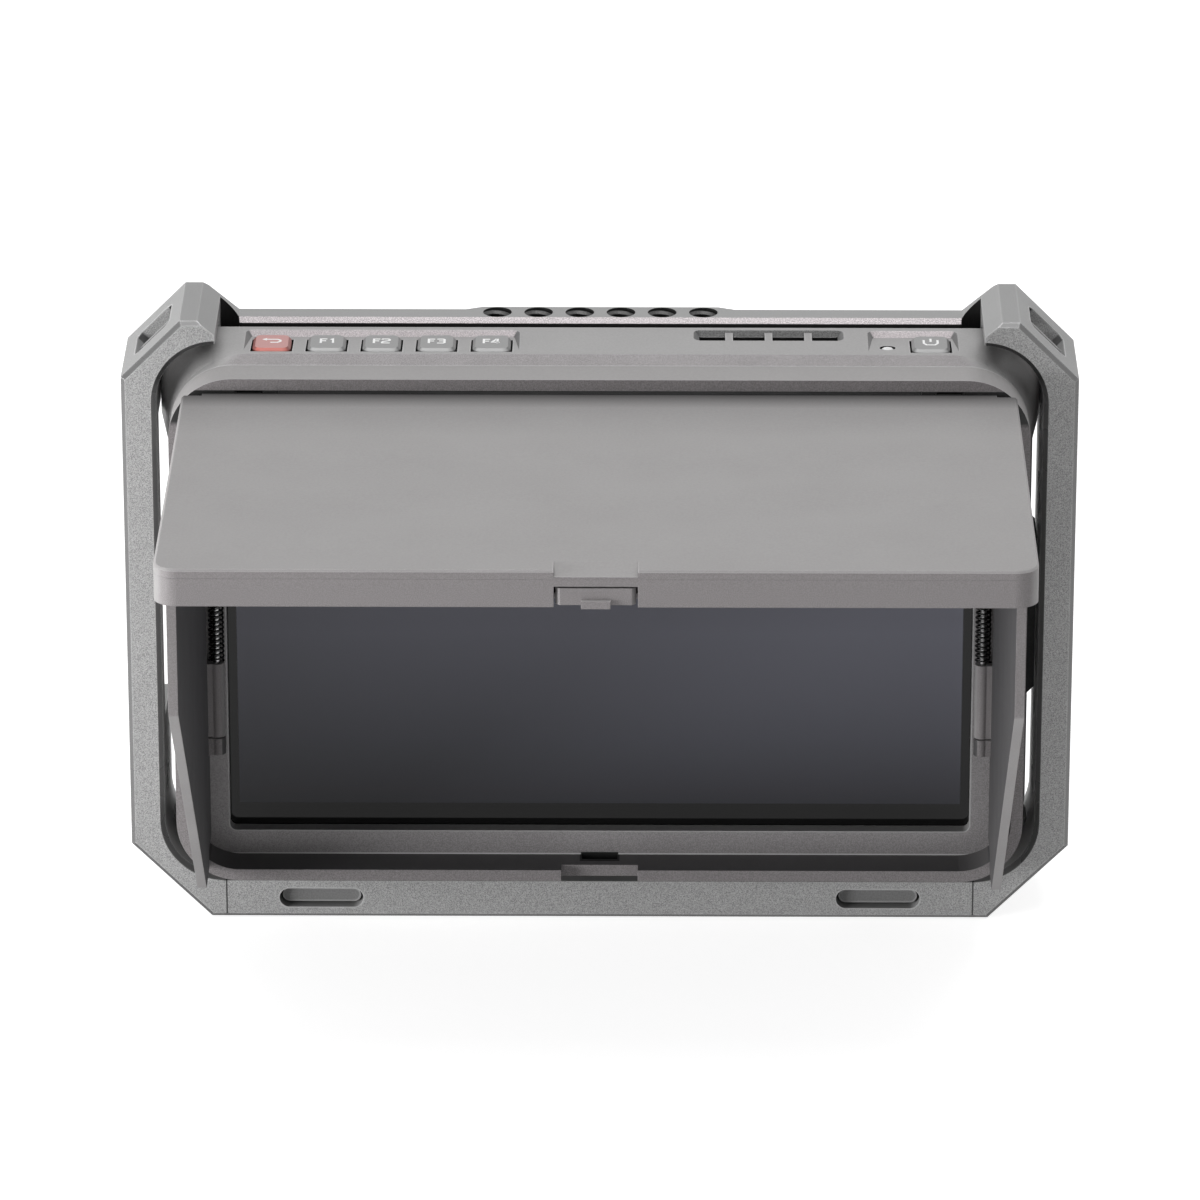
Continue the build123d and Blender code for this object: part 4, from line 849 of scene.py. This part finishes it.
# %% Draw the letters and the signs
letter_scale = 0.9
letter_f = [(0, -1.15), (0, 1.15), (1.25, 1.15)], [(0, 0.05), (1.05, 0.05)]
numerals = {
    "1": [[(0, 0.75), (0.45, 1.15), (0.5, -1.15)]],
    "2": [[(0, 0.8), (0.15, 1.15), (1.25, 1.15), (1.5, 0.85), (1.5, 0.35), (1.3, 0.1),
           (0.2, -0.3), (0, -0.6), (0, -1.15), (1.55, -1.15)]],
    "3": [[(0, 1.15), (1.25, 1.15), (1.5, 0.9), (1.5, 0.3), (1.25, 0.05), (1.5, -0.2),
           (1.5, -0.9), (1.25, -1.15), (0, -1.15)], [(0.4, 0.05), (1.25, 0.05)]],
    "4": [[(1.1, -1.15), (1.1, 1.15), (0.85, 1.15), (0, -0.45), (0, -0.6), (1.55, -0.6)]],
}
legends = {
    "return": [[(-1.3, 0.75), (1.0, 0.75), (1.5, 0.3), (1.5, -0.35), (1.0, -0.8), (-0.3, -0.8)],
               [(-1.75, 0.75), (-0.95, 0.75)]],
    "power": [[(-1.25, 1.1), (-1.25, -0.6), (-0.75, -1.4), (0.75, -1.4), (1.25, -0.6), (1.25, 1.1)],
              [(0, 1.8), (0, 0.2)]],
}
for number, lines in numerals.items():
    start, width = (1.95, 0.5) if number == "1" else (1.65, 1.55)
    middle = (start + width) / 2
    shifted = [[(x + start, y) for x, y in line] for line in lines]
    legends["f" + number] = [[(letter_scale * (x - middle), letter_scale * y) for x, y in line]
                             for line in [*letter_f, *shifted]]
print("the legends are", sorted(legends))

# %% Print the legends
stroke = 0.00042
arrow_back, arrow_tip = 3 * stroke, stroke / 5
layer_step = 0.000004
toward_back = Vector((0, 0.0003, 0))
for key, lines in legends.items():
    low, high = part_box("key_" + key)
    points, faces = [], []
    for layer, line in enumerate(lines):
        arrow_head = key == "return" and layer == 1
        ribbon(points, faces, line, (low + high) / 2 + toward_back, high.z + layer_step * layer,
               arrow_back if arrow_head else stroke, arrow_tip if arrow_head else None)
    add_part("legend_" + key, points, faces, legend_white, "key_" + key + "_body")
print("printed", len(legends), "legends")

# %% [markdown]
# ## Screw threads
#
# The holes in the rail, the sides and the underside are tapped. Rings stacked in a hole would be
# easy, but a tap leaves one ridge that winds round the bore, and the eye can follow it down. So
# each thread is a three-sided ridge wound in a helix.

# %% Wind one thread
import math

quarter_inch_bore = 0.0026
quarter_inch_pitch = 0.00127
big_bore = 0.0044
big_pitch = 0.0015875
ridge_share = 0.42
steps_a_turn = 24


def thread(name, mouth, inward, radius, length, pitch):
    """A ridge wound round the wall of a bore. It is wide and high by a share of its pitch."""
    inward = Vector(inward).normalized()
    aside = inward.orthogonal().normalized()
    across = inward.cross(aside)
    count = int((length / pitch - 1) * steps_a_turn)
    points, faces = [], []
    for i in range(count + 1):
        turn = 2 * math.pi * i / steps_a_turn
        out = aside * math.cos(turn) + across * math.sin(turn)
        middle = Vector(mouth) + inward * (pitch * i / steps_a_turn + pitch / 2)
        points += [middle + out * radius - inward * ridge_share * pitch,
                   middle + out * (radius - ridge_share * pitch),
                   middle + out * radius + inward * ridge_share * pitch]
        if i:
            a = 3 * (i - 1)
            faces += [(a + k, a + 3 + k, a + 3 + (k + 1) % 3, a + (k + 1) % 3) for k in range(3)]
    faces += [(0, 2, 1), (3 * count, 3 * count + 1, 3 * count + 2)]
    add_part(name, points, faces, thread_metal, "monitor")


print("a quarter-inch thread has a pitch of", 1000 * quarter_inch_pitch, "mm")

# %% Tap the rail
rail_top, rail_bottom = 0.1116, 0.1042
rail_hole_y = 0.0096
rail_hole_pitch = 0.0075
for i in range(6):
    thread(f"rail_thread_{i + 1}", ((i - 2.5) * rail_hole_pitch, rail_hole_y, rail_top), (0, 0, -1),
           quarter_inch_bore, rail_top - rail_bottom, quarter_inch_pitch)
print("the rail is", round(1000 * (rail_top - rail_bottom), 1), "mm thick at its threads")

# %% Tap the sides and the underside
side_x = 0.0863
side_wall = 0.0063
foot_depth = 0.0083
left_hole_z = 0.0238
big_hole_z = 0.08
right_hole_z = (0.0238, 0.0388, 0.065, 0.095)
for z in right_hole_z:
    thread(f"right_thread_{round(1000 * z)}", (side_x, 0, z), (-1, 0, 0), quarter_inch_bore,
           side_wall, quarter_inch_pitch)
thread("right_big_thread", (side_x, 0, big_hole_z), (-1, 0, 0), big_bore, side_wall, big_pitch)
thread("left_thread", (-side_x, 0, left_hole_z), (1, 0, 0), quarter_inch_bore, side_wall,
       quarter_inch_pitch)
thread("tripod_thread", (0, 0, 0), (0, 0, 1), quarter_inch_bore, foot_depth, quarter_inch_pitch)
print("tapped", len(right_hole_z) + 3, "holes in the sides and the underside")

# %% [markdown]
# ## Side flap springs
#
# A wound spring of black wire sits round the pin of each side flap, between its two barrels, and
# pushes the flap open. The CAD model keeps it as a sleeve. Here it is wound as one strand: a
# curve with a round bevel, which is shorter to write than a mesh tube and just as smooth.

# %% Wind the springs
wire_radius = 0.0002
turn_rise = 0.00095
steps_a_coil = 16


def side_spring(name, body):
    """Winds a spring in the place of its sleeve and tells how many turns it has."""
    low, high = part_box(name)
    centre = (low + high) / 2
    coil_radius = (high.x - low.x) / 2
    turns = round((high.z - low.z) / turn_rise)
    count = turns * steps_a_coil
    curve = bpy.data.curves.new(name + "_coil", "CURVE")
    curve.dimensions = "3D"
    curve.bevel_depth = wire_radius
    curve.bevel_resolution = 3
    strand = curve.splines.new("POLY")
    strand.points.add(count)
    for i, point in enumerate(strand.points):
        turn = 2 * math.pi * i / steps_a_coil
        rise = low.z + wire_radius + (high.z - low.z - 2 * wire_radius) * i / count
        right, back = coil_radius * math.cos(turn), coil_radius * math.sin(turn)
        point.co = (centre.x + right, centre.y + back, rise, 1.0)
    curve.materials.append(black_steel)
    spring = bpy.data.objects.new(name + "_coil", curve)
    bpy.context.scene.collection.objects.link(spring)
    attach(spring, body)
    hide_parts(name)
    return turns


for name in ("left_flap_spring", "right_flap_spring"):
    print("the", name, "has", side_spring(name, "monitor"), "turns")
